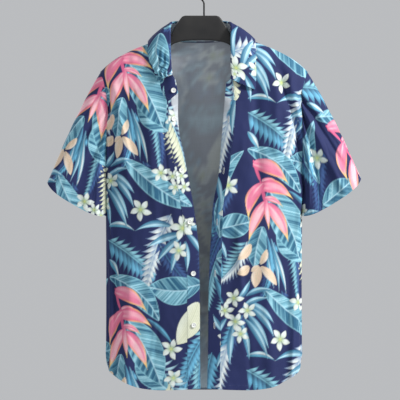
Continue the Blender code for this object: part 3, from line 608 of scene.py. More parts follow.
# Leaves: foot x, drop, tip x, drop, half width, bow.
BANANA_LEAVES = (
    (-268, 620, -217, 497, 17, -20),
    (-276, 664, -196, 645, 26, 0),
    (-78, 729, -143, 656, 26, -5),
    (-2, 514, -117, 514, 30, -9),
    (-208, 493, -94, 586, 24, -18),
    (-164, 580, -91, 719, 35, -6),
    (-169, 246, -22, 351, 24, 7),
    (-176, 656, -192, 742, 21, 3),
)
LANCE_LEAVES = (
    (-208, 273, -148, 318, 8, -6, "cyan"),
    (-205, 298, -160, 372, 8, -4, "cyan"),
    (-208, 261, -150, 248, 6, -7, "cyan"),
    (-208, 387, -146, 397, 6, -9, "white"),
    (-65, 388, -146, 397, 7, 11, "cyan"),
    (-44, 403, -122, 432, 8, 6, "cyan"),
    (-46, 406, -100, 463, 7, 4, "cyan"),
    (-49, 419, -69, 485, 7, 3, "cyan"),
    (-41, 419, -35, 492, 7, -4, "cyan"),
    (-36, 406, -2, 455, 6, -4, "cyan"),
    (-31, 398, 11, 403, 6, -4, "cyan"),
    (12, 214, -34, 268, 7, 6, "cyan"),
    (14, 216, -8, 292, 7, 4, "white"),
    (18, 214, 34, 286, 7, -4, "cyan"),
    (10, 208, -44, 222, 6, 5, "blue"),
    (-122, 581, -65, 637, 5, -5, "blue"),
    (-164, 134, -152, 228, 5, -3, "blue"),
    (-155, 139, -136, 251, 5, -4, "cyan"),
    (-150, 157, -119, 259, 5, -4, "white"),
    (-161, 178, -147, 246, 4, 2, "white"),
    (-219, 828, -161, 807, 6, -7, "cyan"),
    (-203, 826, -151, 891, 7, -7, "cyan"),
    (-215, 849, -165, 936, 7, -7, "cyan"),
    (-224, 857, -205, 938, 7, -4, "cyan"),
    (-239, 860, -246, 949, 7, 3, "cyan"),
    (-253, 849, -277, 896, 6, 4, "cyan"),
    (-259, 818, -284, 781, 6, -3, "cyan"),
    (-227, 808, -201, 768, 6, 3, "cyan"),
    (-208, 457, -183, 495, 7, -2, "white"),
    (-279, 674, -252, 729, 6, -4, "cyan"),
    (-282, 703, -261, 768, 6, -3, "blue"),
    (-271, 536, -279, 609, 5, -2, "blue"),
)
# Petals and pale leaves: foot x, drop, tip x, drop, half width, bow, tint, veins.
PETALS = (
    (-9, 553, -56, 635, 25, -5, "cream", "straw"),
    (-176, 194, -163, 162, 7, 2, "peach", "straw"),
    (-178, 199, -188, 243, 11, 2, "peach", "straw"),
    (-175, 198, -141, 238, 9, -2, "peach", "straw"),
    (-179, 197, -196, 209, 6, 0, "peach", "straw"),
    (-200, 693, -227, 726, 10, -3, "peach", "straw"),
    (-203, 740, -229, 756, 10, -2, "peach", "straw"),
)
# Bracts hang in steps from a stem: foot x, drop, tip x, drop, half width, bow, flick.
BRACTS = (
    (-178, 560, -136, 566, 6, -3, 5),
    (-196, 523, -116, 560, 15, -8, 9),
    (-172, 596, -131, 611, 6, -3, 5),
    (-184, 572, -108, 592, 14, -8, 8),
    (-176, 566, -212, 640, 13, 9, -7),
    (-170, 604, -200, 690, 12, 7, 6),
    (-168, 608, -124, 692, 13, -9, -6),
    (-170, 600, -158, 664, 6, 2, 4),
)
STEM = ((-196, 517), (-181, 560), (-171, 608))
# Blossoms: x, drop, radius, turn.
BLOOMS = (
    (-134, 352, 22, 90),
    (-44, 391, 26, 40),
    (-53, 438, 20, 100),
    (-69, 645, 21, 70),
    (-64, 706, 19, 20),
    (-249, 570, 22, 110),
    (-237, 807, 19, 0),
    (-256, 833, 18, 60),
    (-208, 833, 18, 30),
    (-234, 856, 19, 80),
    (-223, 882, 18, 100),
    (-91, 275, 19, 50),
    (-66, 282, 15, 10),
    (-46, 287, 14, 70),
    (-60, 305, 15, 100),
    (-39, 310, 14, 30),
    (-28, 387, 12, 80),
    (14, 206, 19, 15),
)


def by_row(draw):
    """A leaf's drawing, made to take its foot, tip and the rest from a row of its table."""
    return lambda patch, row: draw(patch, row[:2], row[2:4], *row[4:])


def heliconia(patch, _):
    """Stem first, then the bracts that fold round it."""
    for foot, head in zip(STEM, STEM[1:]):
        mask = leaf_shape(patch["xy"], foot, head, 3.5, 0.0, 0.5, (0.3, 0.3))[0]
        lay(patch, mask, ink("rose"))
    for row in BRACTS:
        by_row(bract)(patch, row)


# Each layer: what draws a row, its rows, and how far a row's ink can reach past its foot.
LAYERS = (
    (frond, FRONDS, 200),
    (by_row(banana_leaf), BANANA_LEAVES, 190),
    (by_row(lance_leaf), LANCE_LEAVES, 130),
    (by_row(tinted_petal), PETALS, 110),
    (heliconia, (STEM[1],), 145),
    (bloom, BLOOMS, 34),
)
REPEATS = range(-6, 7)  # how many repeats either way can reach a piece


def printed(place):
    """Colours of the right side of the cloth at places in cloth millimetres."""
    flat = place.reshape(-1, 2)
    rgb = mix(ink("ground"), ink("deep"), 0.6 * wobble(flat, GROUND_BLOTCH, GROUND_SEED))
    low, high = flat.min(0), flat.max(0)
    for draw, rows, reach in LAYERS:
        for row in rows:
            foot = np.array(row[:2], float)
            for i in REPEATS:
                for j in REPEATS:
                    shift = i * np.array(REPEAT_DROP) + j * np.array(REPEAT_HALF)
                    centre = foot + shift
                    if (centre + reach < low).any() or (centre - reach > high).any():
                        continue
                    near = np.flatnonzero((np.abs(flat - centre) < reach).all(1))
                    if len(near) == 0:
                        continue
                    patch = {"xy": flat[near] - shift, "rgb": rgb[near]}
                    draw(patch, row)
                    rgb[near] = patch["rgb"]
    return rgb.reshape(*place.shape[:-1], 3)


THREAD_SCALES = ((900, 40, 1), (40, 900, 1))  # along one set of threads, then the other


def cloth_material(name):
    """Shirting: printed colour, slubby threads, a soft sheen and a fine weave."""
    cloth, shader = new_material(name)
    nodes, links = cloth.node_tree.nodes, cloth.node_tree.links
    dye = nodes.new("ShaderNodeAttribute")
    dye.attribute_name = "dye"
    threads = nodes.new("ShaderNodeGroup")
    threads.node_tree = thread_group
    toned = nodes.new("ShaderNodeMix")
    toned.data_type = "RGBA"
    toned.blend_type = "MULTIPLY"
    toned.inputs["Factor"].default_value = 1.0
    links.new(dye.outputs["Color"], toned.inputs[6])
    links.new(threads.outputs["Tone"], toned.inputs[7])
    links.new(toned.outputs[2], shader.inputs["Base Color"])
    links.new(spread(cloth, threads.outputs["Height"], 0.66, 0.86), shader.inputs["Roughness"])
    shader.inputs["Sheen Weight"].default_value = 0.05
    shader.inputs["Specular IOR Level"].default_value = 0.3
    shader.inputs["Sheen Roughness"].default_value = 0.45
    add_bump(cloth, shader, threads.outputs["Height"], 0.35, 0.0004)
    return cloth


def make_thread_group():
    """Node group of the weave: a height, and a tone that slubs along the threads."""
    group = bpy.data.node_groups.new("shirting_threads", "ShaderNodeTree")
    group.interface.new_socket("Tone", in_out="OUTPUT", socket_type="NodeSocketColor")
    group.interface.new_socket("Height", in_out="OUTPUT", socket_type="NodeSocketFloat")
    nodes, links = group.nodes, group.links
    out = nodes.new("NodeGroupOutput")
    grid = nodes.new("ShaderNodeUVMap")
    grid.uv_map = "cloth"
    heights = []
    for scale in THREAD_SCALES:
        stretch = nodes.new("ShaderNodeMapping")
        stretch.inputs["Scale"].default_value = scale
        links.new(grid.outputs["UV"], stretch.inputs["Vector"])
        slub = nodes.new("ShaderNodeTexNoise")
        slub.inputs["Scale"].default_value = 1.0
        slub.inputs["Detail"].default_value = 2.0
        links.new(stretch.outputs["Vector"], slub.inputs["Vector"])
        heights.append(slub.outputs["Fac"])
    crossed = nodes.new("ShaderNodeMath")
    crossed.operation = "ADD"
    links.new(heights[0], crossed.inputs[0])
    links.new(heights[1], crossed.inputs[1])
    halved = nodes.new("ShaderNodeMath")
    halved.operation = "MULTIPLY"
    halved.inputs[1].default_value = 0.5
    links.new(crossed.outputs[0], halved.inputs[0])
    links.new(halved.outputs[0], out.inputs["Height"])
    tone = nodes.new("ShaderNodeMapRange")
    tone.inputs["From Min"].default_value = 0.35
    tone.inputs["From Max"].default_value = 0.65
    tone.inputs["To Min"].default_value = 0.93
    tone.inputs["To Max"].default_value = 1.05
    links.new(halved.outputs[0], tone.inputs["Value"])
    links.new(tone.outputs["Result"], out.inputs["Tone"])
    return group


thread_group = make_thread_group()
shirting = cloth_material("printed_shirting")


def unit(vector):
    """The same direction, with length 1."""
    return vector / np.maximum(np.linalg.norm(vector, axis=-1, keepdims=True), 1e-9)


def run_along(points, axis=0):
    """Distance run along a line of points, or along the lines of a grid."""
    steps = np.linalg.norm(np.diff(points, axis=axis), axis=-1)
    return np.insert(np.cumsum(steps, axis=axis), 0, 0.0, axis=axis)


def grid_normals(grid, inside):
    """Unit normals of a grid of points, pointing away from the points `inside`."""
    normal = unit(np.cross(np.gradient(grid, axis=1), np.gradient(grid, axis=0)))
    return normal if (normal * (grid - inside)).sum() > 0 else -normal


def in_room(points):
    """Millimetres with a drop, to metres with a height."""
    return points * (MM, MM, -MM) + (0, 0, NECK_LEVEL * MM)


def rim_faces(fine, coarse):
    """Triangles between a border of the right side and the coarser one behind it."""
    ratio = (len(fine) - 1) // (len(coarse) - 1)
    faces = []
    for j in range(len(coarse) - 1):
        middle = j * ratio + ratio // 2
        for i in range(j * ratio, (j + 1) * ratio):
            faces.append((fine[i], fine[i + 1], coarse[j] if i < middle else coarse[j + 1]))
        faces.append((fine[middle], coarse[j + 1], coarse[j]))
    return faces


def quad_faces(order):
    """Faces of a grid of vertex numbers."""
    return np.stack([order[:-1, :-1], order[:-1, 1:], order[1:, 1:], order[1:, :-1]], -1).reshape(-1, 4)


SHOWS_THROUGH = 0.3  # share of the print seen on the wrong side


def place_mesh(name, mesh, material):
    """A piece of the shirt from a mesh."""
    mesh.materials.append(material)
    made = bpy.data.objects.new(name, mesh)
    bpy.context.scene.collection.objects.link(made)
    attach(made, "root")
    return made


def cloth_piece(name, grid, normal, place, dye, wall, every=3, tube=False):
    """A wall of cloth: a fine right side, and behind it a coarser wrong side.

    place is each point's spot on the flat cloth in millimetres and dye its colour. A
    tube's last column repeats its first, and the two are welded.
    """
    rows, columns = grid.shape[:2]
    behind = np.s_[::every, ::every]
    points = [grid + normal * wall / 2, (grid - normal * wall / 2)[behind]]
    reverse = mix(ink("wrong_side"), dye[behind], SHOWS_THROUGH)
    border = np.ones(reverse.shape[:2], bool)
    border[1:-1, 1:-1] = False
    reverse[border] = dye[behind][border]  # edges are turned in, so the right side wraps round
    right = np.arange(rows * columns).reshape(rows, columns)
    wrong = rows * columns + np.arange(points[1][..., 0].size).reshape(points[1].shape[:2])
    quads = np.concatenate([quad_faces(right), quad_faces(wrong)[:, ::-1]])
    rims = rim_faces(right[0][::-1], wrong[0][::-1]) + rim_faces(right[-1], wrong[-1])
    if not tube:
        rims += rim_faces(right[::-1, -1], wrong[::-1, -1]) + rim_faces(right[:, 0], wrong[:, 0])
    rims = np.array(rims)
    points = np.concatenate([in_room(layer).reshape(-1, 3) for layer in points])
    sides = points[quads[: (rows - 1) * (columns - 1)]]
    facing = np.cross(sides[:, 1] - sides[:, 0], sides[:, 3] - sides[:, 0])
    if (facing * (normal[:-1, :-1] * (1, 1, -1)).reshape(-1, 3)).sum() < 0:
        quads, rims = quads[:, ::-1], rims[:, ::-1]
    mesh = bpy.data.meshes.new(name)
    mesh.from_pydata(points.tolist(), [], quads.tolist() + rims.tolist())
    corners = np.empty(len(mesh.loops), np.int32)
    mesh.loops.foreach_get("vertex_index", corners)
    flat = np.concatenate([place.reshape(-1, 2), place[behind].reshape(-1, 2)]) * MM
    mesh.uv_layers.new(name="cloth").data.foreach_set("uv", flat[corners].ravel())
    colours = np.concatenate([dye.reshape(-1, 3), reverse.reshape(-1, 3)])
    dyed = mesh.color_attributes.new("dye", "FLOAT_COLOR", "POINT")
    dyed.data.foreach_set("color", np.insert(colours, 3, 1.0, axis=1).ravel())
    if tube:
        ends = np.concatenate([order[:, [0, -1]].ravel() for order in (right, wrong)]).tolist()
        welded = bmesh.new()
        welded.from_mesh(mesh)
        welded.verts.ensure_lookup_table()
        bmesh.ops.remove_doubles(welded, verts=[welded.verts[i] for i in ends], dist=1e-6)
        welded.to_mesh(mesh)
        welded.free()
    shade(mesh, 60)
    return place_mesh(name, mesh, shirting)


# ---------------------------------------------------------------- back
# One panel of shirting, cut on the straight grain, sewn to the fronts along the
# shoulders and sides; its curved tail is hemmed. Only its inside shows in the opening.

SHOULDER_X, SHOULDER_DROP = 219.0, 62.0
ARMPIT_DROP = 302.0
SIDE_HEM_DROP = 655.0
NECK_HALF = 88.0
BACK_NECK_DROP = -2.0
ROUNDNESS = 1.4  # half the exponent of the body's rounded section
ARMHOLE_TURN = 0.26  # share of the side quarter that the armhole cuts off at its top
ARMHOLE_BEND = 0.7
SHOULDER_ROLL = 70.0  # the cloth rolls over the shoulder within this drop
# Tables of the body, where `at` is a drop: half width between the side seams, and depth.
WIDTH = {
    "at": (62, 80, 100, 150, 302, 480, 640, 740),
    "half": (219, 212, 208, 206.5, 207, 206, 206.5, 208),
}
DEPTH = {
    "at": (-40, 0, 60, 150, 250, 420, 600, 740),
    "front": (22, 28, 37, 44, 47, 45, 42, 40),
    "back": (24, 28, 34, 39, 41, 39, 37, 35),
}
HEM = {  # `at` is a girth
    "at": (0, 0.19, 0.385, 0.53, 0.67, 0.82, 0.9, 1.0, 1.1, 1.18, 1.33, 1.47, 1.6, 2.0),
    "drop": (728, 731, 731, 725, 711, 695, 681, 655, 680, 696, 714, 727, 732, 734),
}
# Folds: girth at the top and at the bottom, drop at the top and at the bottom, spread, rise.
FOLDS = (
    (0.44, 0.88, 30, 245, 0.042, -9.0),
    (0.55, 0.95, 50, 260, 0.045, 5.0),
    (0.92, 0.80, 250, 430, 0.045, 5.0),
    (0.34, 0.42, 40, 320, 0.05, -6.0),
    (0.50, 0.56, 60, 260, 0.04, 4.0),
    (0.46, 0.52, 330, 760, 0.06, 6.0),
    (0.72, 0.66, 420, 760, 0.05, -5.0),
    (0.93, 0.98, 380, 760, 0.07, -6.0),
    (0.30, 0.24, 300, 620, 0.04, 4.0),
    (-0.80, -0.74, 90, 330, 0.045, -7.5),
    (-0.66, -0.60, 60, 300, 0.04, 5.0),
    (-0.42, -0.36, 60, 380, 0.05, 5.0),
    (-0.30, -0.40, 300, 700, 0.045, -4.5),
    (-0.55, -0.62, 360, 760, 0.06, 6.0),
    (-0.78, -0.74, 380, 760, 0.045, -5.0),
    (-0.95, -0.9, 420, 760, 0.06, -5.0),
    (1.30, 1.42, 60, 420, 0.06, -7.0),
    (1.62, 1.70, 260, 760, 0.08, 7.0),
    (1.22, 1.30, 360, 760, 0.06, -5.0),
    (-1.28, -1.36, 80, 460, 0.06, -7.0),
    (-1.55, -1.62, 220, 760, 0.08, 7.0),
    (-1.86, -1.9, 150, 700, 0.07, -6.0),
)
# Small creases, in the same columns.
CREASES = (
    (0.80, 0.88, 96, 150, 0.012, -2.2),
    (0.74, 0.87, 118, 200, 0.014, 2.0),
    (0.84, 0.74, 170, 270, 0.013, -2.0),
    (0.90, 0.80, 230, 310, 0.012, 1.8),
    (0.70, 0.62, 150, 260, 0.016, -2.2),
    (0.60, 0.66, 60, 170, 0.018, 1.8),
    (0.24, 0.30, 380, 560, 0.018, 1.8),
    (0.30, 0.36, 560, 740, 0.020, -2.0),
    (0.78, 0.72, 560, 740, 0.022, 2.0),
    (0.90, 0.82, 320, 470, 0.016, -1.8),
    (-0.72, -0.86, 100, 180, 0.013, -2.4),
    (-0.78, -0.88, 190, 250, 0.012, 1.8),
    (-0.66, -0.56, 130, 240, 0.016, 1.8),
    (-0.50, -0.46, 80, 200, 0.014, -1.8),
    (-0.30, -0.26, 150, 330, 0.014, -1.7),
    (-0.34, -0.42, 520, 720, 0.020, 1.9),
    (-0.80, -0.76, 420, 600, 0.020, -2.0),
    (-0.88, -0.80, 310, 420, 0.014, 1.7),
    (1.18, 1.30, 120, 220, 0.02, 2.0),
    (-1.20, -1.30, 140, 260, 0.02, -2.0),
    (1.50, 1.46, 420, 700, 0.025, -1.8),
    (-1.72, -1.66, 380, 640, 0.025, 1.8),
)
HEM_LEVEL = 740.0  # folds that end below this drop run out through the hem
FOLD_CALM = 0.13  # folds die out within this girth of a side seam
HEM_DEPTH = 11.0
HEM_STEP = 0.45  # how far the turned-up hem stands proud
HEM_STITCH = HEM_DEPTH - 1.5  # its stitches run here, and pull the cloth in
HEM_DIP = 0.35
SHIRTING = 1.0  # thickness of one wall of cloth
SEAM_CALM = 24.0  # the cloth lies smooth within this distance of a seam
SEAM_DIP, SEAM_HALF_WIDE = 0.6, 1.6
# Rumples, broad then fine: size across the cloth, how much longer along it, share.
RUMPLES = ((26, 2.4, 1.0), (10, 1.6, 0.3))
PANEL_RUMPLE = 3.4
BACK_SEED = 40


def armhole_share(drop):
    """Girth, from 0 to 1, at which a front or the back ends at the armhole."""
    t = np.clip((drop - SHOULDER_DROP) / (ARMPIT_DROP - SHOULDER_DROP), 0, 1)
    return 1 - ARMHOLE_TURN * (1 - t) ** ARMHOLE_BEND


def across(share):
    """Half width, as a share of the section's, at a share of the quarter girth."""
    return np.sin(math.pi / 2 * share**ROUNDNESS) ** (1 / ROUNDNESS)


def outward(share):
    """Depth, as a share of the section's, at a share of the quarter girth."""
    return np.maximum(np.cos(math.pi / 2 * share**ROUNDNESS), 0) ** (1 / ROUNDNESS)


def section_half_width(drop):
    """Half width of the whole section that the panels are cut from."""
    return reading(WIDTH, "half", drop) / across(armhole_share(drop))


def share_at(x, drop):
    """Share of the quarter girth at a distance x from the middle plane."""
    rise = np.clip(x / section_half_width(drop), 0, 1) ** ROUNDNESS
    return (np.arcsin(rise) * 2 / math.pi) ** (1 / ROUNDNESS)


def fold_height(girth, drop):
    """How far folds and creases lift the cloth at a girth and a drop."""
    total = 0.0
    for top, bottom, start, end, spread_out, rise in FOLDS + CREASES:
        along = (drop - start) / (end - start)
        fade = ramp(along, 0, 0.3) * (1 - ramp(along, 0.8, 1.05) * (end < HEM_LEVEL))
        away = (girth - top - (bottom - top) * along) / spread_out
        total = total + rise * fade * np.exp(-(away**2))
    return total * ramp(np.abs(np.abs(girth) - 1), 0, FOLD_CALM)


def body_point(girth, drop):
    """Point of the shirt's body, in millimetres with its height as a drop."""
    side, reach = np.where(girth < 0, -1.0, 1.0), np.abs(girth)
    behind = reach > 1
    share = np.where(behind, 2 - reach, reach)
    half = section_half_width(drop)
    deep = np.where(behind, reading(DEPTH, "back", drop), -reading(DEPTH, "front", drop))
    x = half * across(share)
    below = np.clip((drop - ridge_drop(x)) / SHOULDER_ROLL, 0, 1)
    roll = np.sqrt(1 - (1 - below) ** 2)
    y = deep * outward(share) * roll
    normal_x = across(share) ** (2 * ROUNDNESS - 1) / half
    normal_y = outward(share) ** (2 * ROUNDNESS - 1) / deep
    lift = fold_height(girth, drop) * roll / np.hypot(normal_x, normal_y)
    return np.stack([side * (x + lift * normal_x), y + lift * normal_y, drop], -1)


def coons(top, bottom, left, right):
    """Grid of points between four boundary lines, rows running from top to bottom."""
    u = (np.arange(len(top)) / (len(top) - 1))[None, :, None]
    falls = [(line[:, 1] - line[0, 1]) / (line[-1, 1] - line[0, 1]) for line in (left, right)]
    v = ((falls[0] + falls[1]) / 2)[:, None, None]
    straight = (1 - v) * top[None] + v * bottom[None]
    sideways = (1 - u) * left[:, None] + u * right[:, None]
    corners = (1 - v) * ((1 - u) * top[0] + u * top[-1]) + v * ((1 - u) * bottom[0] + u * bottom[-1])
    return straight + sideways - corners


def side_line(armhole_rows, seam_rows):
    """Girth and drop down a panel's side: armhole, then side seam."""
    steps = (np.arange(armhole_rows + 1) / armhole_rows) ** 1.5
    seam = np.linspace(ARMPIT_DROP, SIDE_HEM_DROP, seam_rows + 1)[1:]
    drop = np.concatenate([SHOULDER_DROP + (ARMPIT_DROP - SHOULDER_DROP) * steps, seam])
    return np.stack([armhole_share(drop), drop], -1)


def shoulder_line(neck_x, steps):
    """Girth and drop of a shoulder seam, from the neck to the sleeve."""
    x = np.linspace(neck_x, SHOULDER_X, steps + 1)
    drop = ridge_drop(x)
    share = share_at(x, drop)
    share[-1] = armhole_share(SHOULDER_DROP)
    return np.stack([share, drop], -1)


def hem_drop(girth):
    """Drop of the curved hem at a girth."""
    return reading(HEM, "drop", np.abs(girth))


def flat_place(grid, start):
    """Where the points of a panel lie on the flat cloth: out from x = 0, up from the hem."""
    out = start[:, None] + run_along(grid[..., :2], 1)
    rise = run_along(grid[::-1, :, 1:])[::-1]
    return np.stack([out, grid[-1:, :, 2] - rise], -1)


def body_middle(points):
    """A point inside the body for each point of a panel, to tell out from in."""
    middle = points * (0.55, 0, 1)
    middle[..., 2] += np.where(points[..., 2] < 90, 60, 0)
    return middle


def turned_up(grid, normal, from_edge):
    """Lifts a hem by its second layer, with a dip where the stitches pull it in."""
    step = HEM_STEP * (1 - ramp(from_edge, HEM_DEPTH - 0.6, HEM_DEPTH + 0.8))
    dip = HEM_DIP * np.exp(-((from_edge - HEM_STITCH) ** 2))
    return grid + normal * (step - dip)[..., None]


def from_seams(place):
    """Distance on the flat cloth of a panel's points from its sides and its top."""
    sides = np.minimum(np.abs(place[..., 0] - place[:, :1, 0]), np.abs(place[..., 0] - place[:, -1:, 0]))
    return np.minimum(sides, np.abs(place[..., 1] - place[:1, :, 1]))


def rumpled(grid, normal, place, from_seam, high, seed):
    """Low uneven relief, as light cloth has when it hangs: soft dents and finer ones."""
    total = 0.0
    for number, (size, longer, part) in enumerate(RUMPLES):
        total = total + part * (wobble(place / (1, longer), size, seed + number) - 0.5)
    return grid + normal * (high * total * ramp(from_seam, 0, SEAM_CALM))[..., None]


def seam_dip(grid, normal, from_edge):
    """Draws the cloth in where it is sewn to its neighbour."""
    return grid - normal * (SEAM_DIP * np.exp(-((from_edge / SEAM_HALF_WIDE) ** 2)))[..., None]


def back_neckline(side, t):
    """Share of the quarter girth and drop, for t from 0 at the neck's middle to 1 at a side."""
    neck_x = NECK_HALF + side * NECK_X
    x = NECK_X * side + (neck_x - NECK_X * side) * t
    drop = BACK_NECK_DROP + (ridge_drop(neck_x) - BACK_NECK_DROP) * t**2
    return np.sign(x) * share_at(np.abs(x), drop), drop


def behind_point(side, share, drop):
    """Point of the back; where the share is below 0, it lies past the middle."""
    return body_point(np.where(share < 0, -side * (2 + share), side * (2 - share)), drop)


BACK_COLUMNS = (30, 114)  # for each half of the neck, and for each shoulder
BACK_ROWS = (90, 204)  # along the armhole, and along the side
BACK_SHIFT = (236, 96)  # how far the back's own cut shifts the print
halves = []
for side in (-1, 1):
    neck_edge = np.stack(back_neckline(side, np.linspace(0, 1, BACK_COLUMNS[0] + 1)), -1)
    shoulder = shoulder_line(NECK_HALF + side * NECK_X, BACK_COLUMNS[1])
    top = np.concatenate([neck_edge, shoulder[1:]])
    right = side_line(*BACK_ROWS)
    fall = (right[:, 1] - right[0, 1]) / (right[-1, 1] - right[0, 1])
    middle_drop = BACK_NECK_DROP + (float(hem_drop(2.0)) - BACK_NECK_DROP) * fall
    left = np.stack([top[0, 0] * (1 - fall), middle_drop], -1)
    girth = np.linspace(0, 1, len(top))
    bottom = np.stack([girth, hem_drop(2 - girth)], -1)
    flat = coons(top, bottom, left, right)
    grid = behind_point(side, flat[..., 0], flat[..., 1])
    place = flat_place(grid, np.zeros(len(grid)))
    place[..., 0] = side * (place[..., 0] + NECK_X * side * (1 - fall)[:, None])
    halves.append((grid, place))
back_grid, back_place = [
    np.concatenate([halves[0][part][:, ::-1], halves[1][part][:, 1:]], axis=1) for part in (0, 1)
]
back_normal = grid_normals(back_grid, body_middle(back_grid))
from_seam = from_seams(back_place)
back_grid = rumpled(back_grid, back_normal, back_place, from_seam, PANEL_RUMPLE, BACK_SEED)
back_grid = turned_up(back_grid, back_normal, back_grid[-1:, :, 2] - back_grid[..., 2])
dye = printed(back_place + BACK_SHIFT)
back = cloth_piece("back_panel", back_grid, back_normal, back_place, dye, SHIRTING)
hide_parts("back_upper_right", "back_upper_left", "back_lower_right", "back_lower_left")

# ---------------------------------------------------------------- fronts
# Two panels of shirting, from the shoulder and the neckline to the curved hem. Soft
# folds fall from the shoulders, and a deeper one down beside the left armhole.

# Tables at a drop: a front's free edge, and the width of placket that it shows.
FRONT_EDGE = {
    "at": (90, 113, 164, 204, 229, 258, 290, 338, 395, 422, 500, 647, 733),
    -1: (54, 54.5, 54.5, 50, 43, 38, 32, 23, 15, 12, 9.5, 8.5, 7.5),
    1: (44, 44, 40, 37, 35, 33, 29, 20, 16, 14, 10.5, 8.5, 6.5),
}
PLACKET_SHOWN = {
    "at": (107, 165, 205, 250, 300, 345, 425, 740),
    -1: (20.5, 20.5, 22.5, 24.5, 26, 26.5, 26.5, 26.5),
    1: (21.5, 25, 25, 21.5, 20.5, 21, 24, 26.5),
}
SEAM_TOP_DROP = {-1: 124.0, 1: 123.0}
NECK_CURVE = {-1: ((99, 75), (90, 118)), 1: ((85, 75), (79, 117))}
FRONT_ROWS = (198, 288)  # along the armhole, and along the side
NECK_ROWS = 84
FRONT_COLUMNS = 132
FOOT_DROP = 730.0  # about where a placket meets the hem
FRONT_SEED = 50
WORDS = {-1: "right", 1: "left"}


def free_edge_x(side, drop):
    """Distance of a front's free edge from the middle plane."""
    return reading(FRONT_EDGE, side, drop)


def seam_x(side, drop):
    """Distance of the seam between placket and front from the middle plane."""
    return free_edge_x(side, drop) + reading(PLACKET_SHOWN, side, drop)


def front_neckline(side, steps):
    """Distance and drop along a front's neckline, from the shoulder to the placket."""
    neck_x = NECK_HALF + side * NECK_X
    first = SEAM_TOP_DROP[side]
    handles = [(neck_x, ridge_drop(neck_x)), *NECK_CURVE[side], (seam_x(side, first), first)]
    return bezier(handles, np.linspace(0, 1, steps + 1) ** 1.3)


fronts, front_grids, front_normals = {}, {}, {}
for side in (-1, 1):
    last = float(hem_drop(share_at(seam_x(side, FOOT_DROP), FOOT_DROP)))
    down = np.linspace(SEAM_TOP_DROP[side], last, sum(FRONT_ROWS) - NECK_ROWS + 1)[1:]
    left = np.concatenate([front_neckline(side, NECK_ROWS), np.stack([seam_x(side, down), down], -1)])
    left[:, 0] = share_at(left[:, 0], left[:, 1])
    top = shoulder_line(NECK_HALF + side * NECK_X, FRONT_COLUMNS)
    girth = np.linspace(left[-1, 0], 1.0, len(top))
    bottom = np.stack([girth, hem_drop(girth)], -1)
    left[0], left[-1] = top[0], bottom[0]
    flat = coons(top, bottom, left, side_line(*FRONT_ROWS))
    grid = body_point(side * flat[..., 0], flat[..., 1])
    place = flat_place(grid, np.abs(grid[:, 0, 0])) * (side, 1)
    normal = grid_normals(grid, body_middle(grid))
    grid = rumpled(grid, normal, place, from_seams(place), PANEL_RUMPLE, FRONT_SEED + side)
    grid = turned_up(grid, normal, place[-1:, :, 1] - place[..., 1])
    grid = seam_dip(grid, normal, np.abs(place[:, -1:, 0] - place[..., 0]))
    front = cloth_piece(f"front_{WORDS[side]}_panel", grid, normal, place, printed(place), SHIRTING)
    fronts[side], front_grids[side], front_normals[side] = front, grid, normal
    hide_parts(f"front_{WORDS[side]}")

# ---------------------------------------------------------------- plackets
# A band of the same cloth folded double down each free edge and stitched along both
# sides. Towards the top its free edge is turned in, and its print is its own.

PLACKET_WIDTH = 27.0
PLACKET_TURN = 11.0  # furthest that a free edge is turned in
TURN_FROM, TURN_FULL = 108, 150  # drops between which the turn begins
EDGE_TOP_DROP = {-1: 107.0, 1: 114.0}
PLACKET_WALL = 1.6
PLACKET_PROUD, PLACKET_FLATNESS = 0.5, 0.35
PLACKET_COLUMNS = 20
# How far each placket's print is shifted on the cloth.
PLACKET_SHIFT = {-1: (3, 6), 1: (-4, -60)}
# Where a placket's turned edge shows the pale wrong side: from drop, to drop, width.
TURNED_OUT = {-1: (100, 196, 12), 1: (100, 176, 14)}
RAGGED_SIZE, RAGGED_WIDE, RAGGED_SEED = 14, 5, 60  # how unevenly that stops

placket_grids, placket_normals = {}, {}
for side in (-1, 1):
    seam = front_grids[side][NECK_ROWS:, 0]
    drop = np.linspace(EDGE_TOP_DROP[side], float(hem_drop(0.0)), len(seam))
    free = body_point(side * share_at(free_edge_x(side, drop), drop), drop)
    turned = np.sqrt(np.maximum(PLACKET_WIDTH**2 - reading(PLACKET_SHOWN, side, drop) ** 2, 0))
    free[:, 1] += np.minimum(turned, PLACKET_TURN) * ramp(drop, TURN_FROM, TURN_FULL)
    t = np.linspace(0, 1, PLACKET_COLUMNS + 1)[None, :, None]
    grid = (1 - t) * free[:, None] + t * seam[:, None]
    normal = grid_normals(grid, body_middle(grid))
    crown = 4 * t[..., 0] * (1 - t[..., 0])
    grid = grid + normal * (PLACKET_PROUD * crown**PLACKET_FLATNESS)[..., None]
    placket_grids[side], placket_normals[side] = grid, normal
    place = flat_place(grid, np.abs(free[:, 0])) * (side, 1)
    dye = printed(place + PLACKET_SHIFT[side])
    top, low, wide = TURNED_OUT[side]
    from_edge = np.abs(place[..., 0] - place[:, :1, 0])
    ragged = wide * (1.2 - ramp(drop, top, low))[:, None]
    ragged = ragged + RAGGED_WIDE * (wobble(place, RAGGED_SIZE, RAGGED_SEED) - 0.5)
    pale = ramp(ragged - from_edge, -1.5, 1.5) * (1 - ramp(drop, low - 20, low))[:, None]
    dye = mix(dye, ink("wrong_side"), 0.85 * pale)
    placket = cloth_piece(f"placket_{WORDS[side]}_band", grid, normal, place, dye, PLACKET_WALL, every=2)
    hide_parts(f"placket_{WORDS[side]}")

# ---------------------------------------------------------------- sleeves
# Set-in short sleeves, each one piece of shirting closed at the underarm, hanging
# half flat. The cuff is turned up and stitched, and soft folds run along each sleeve.

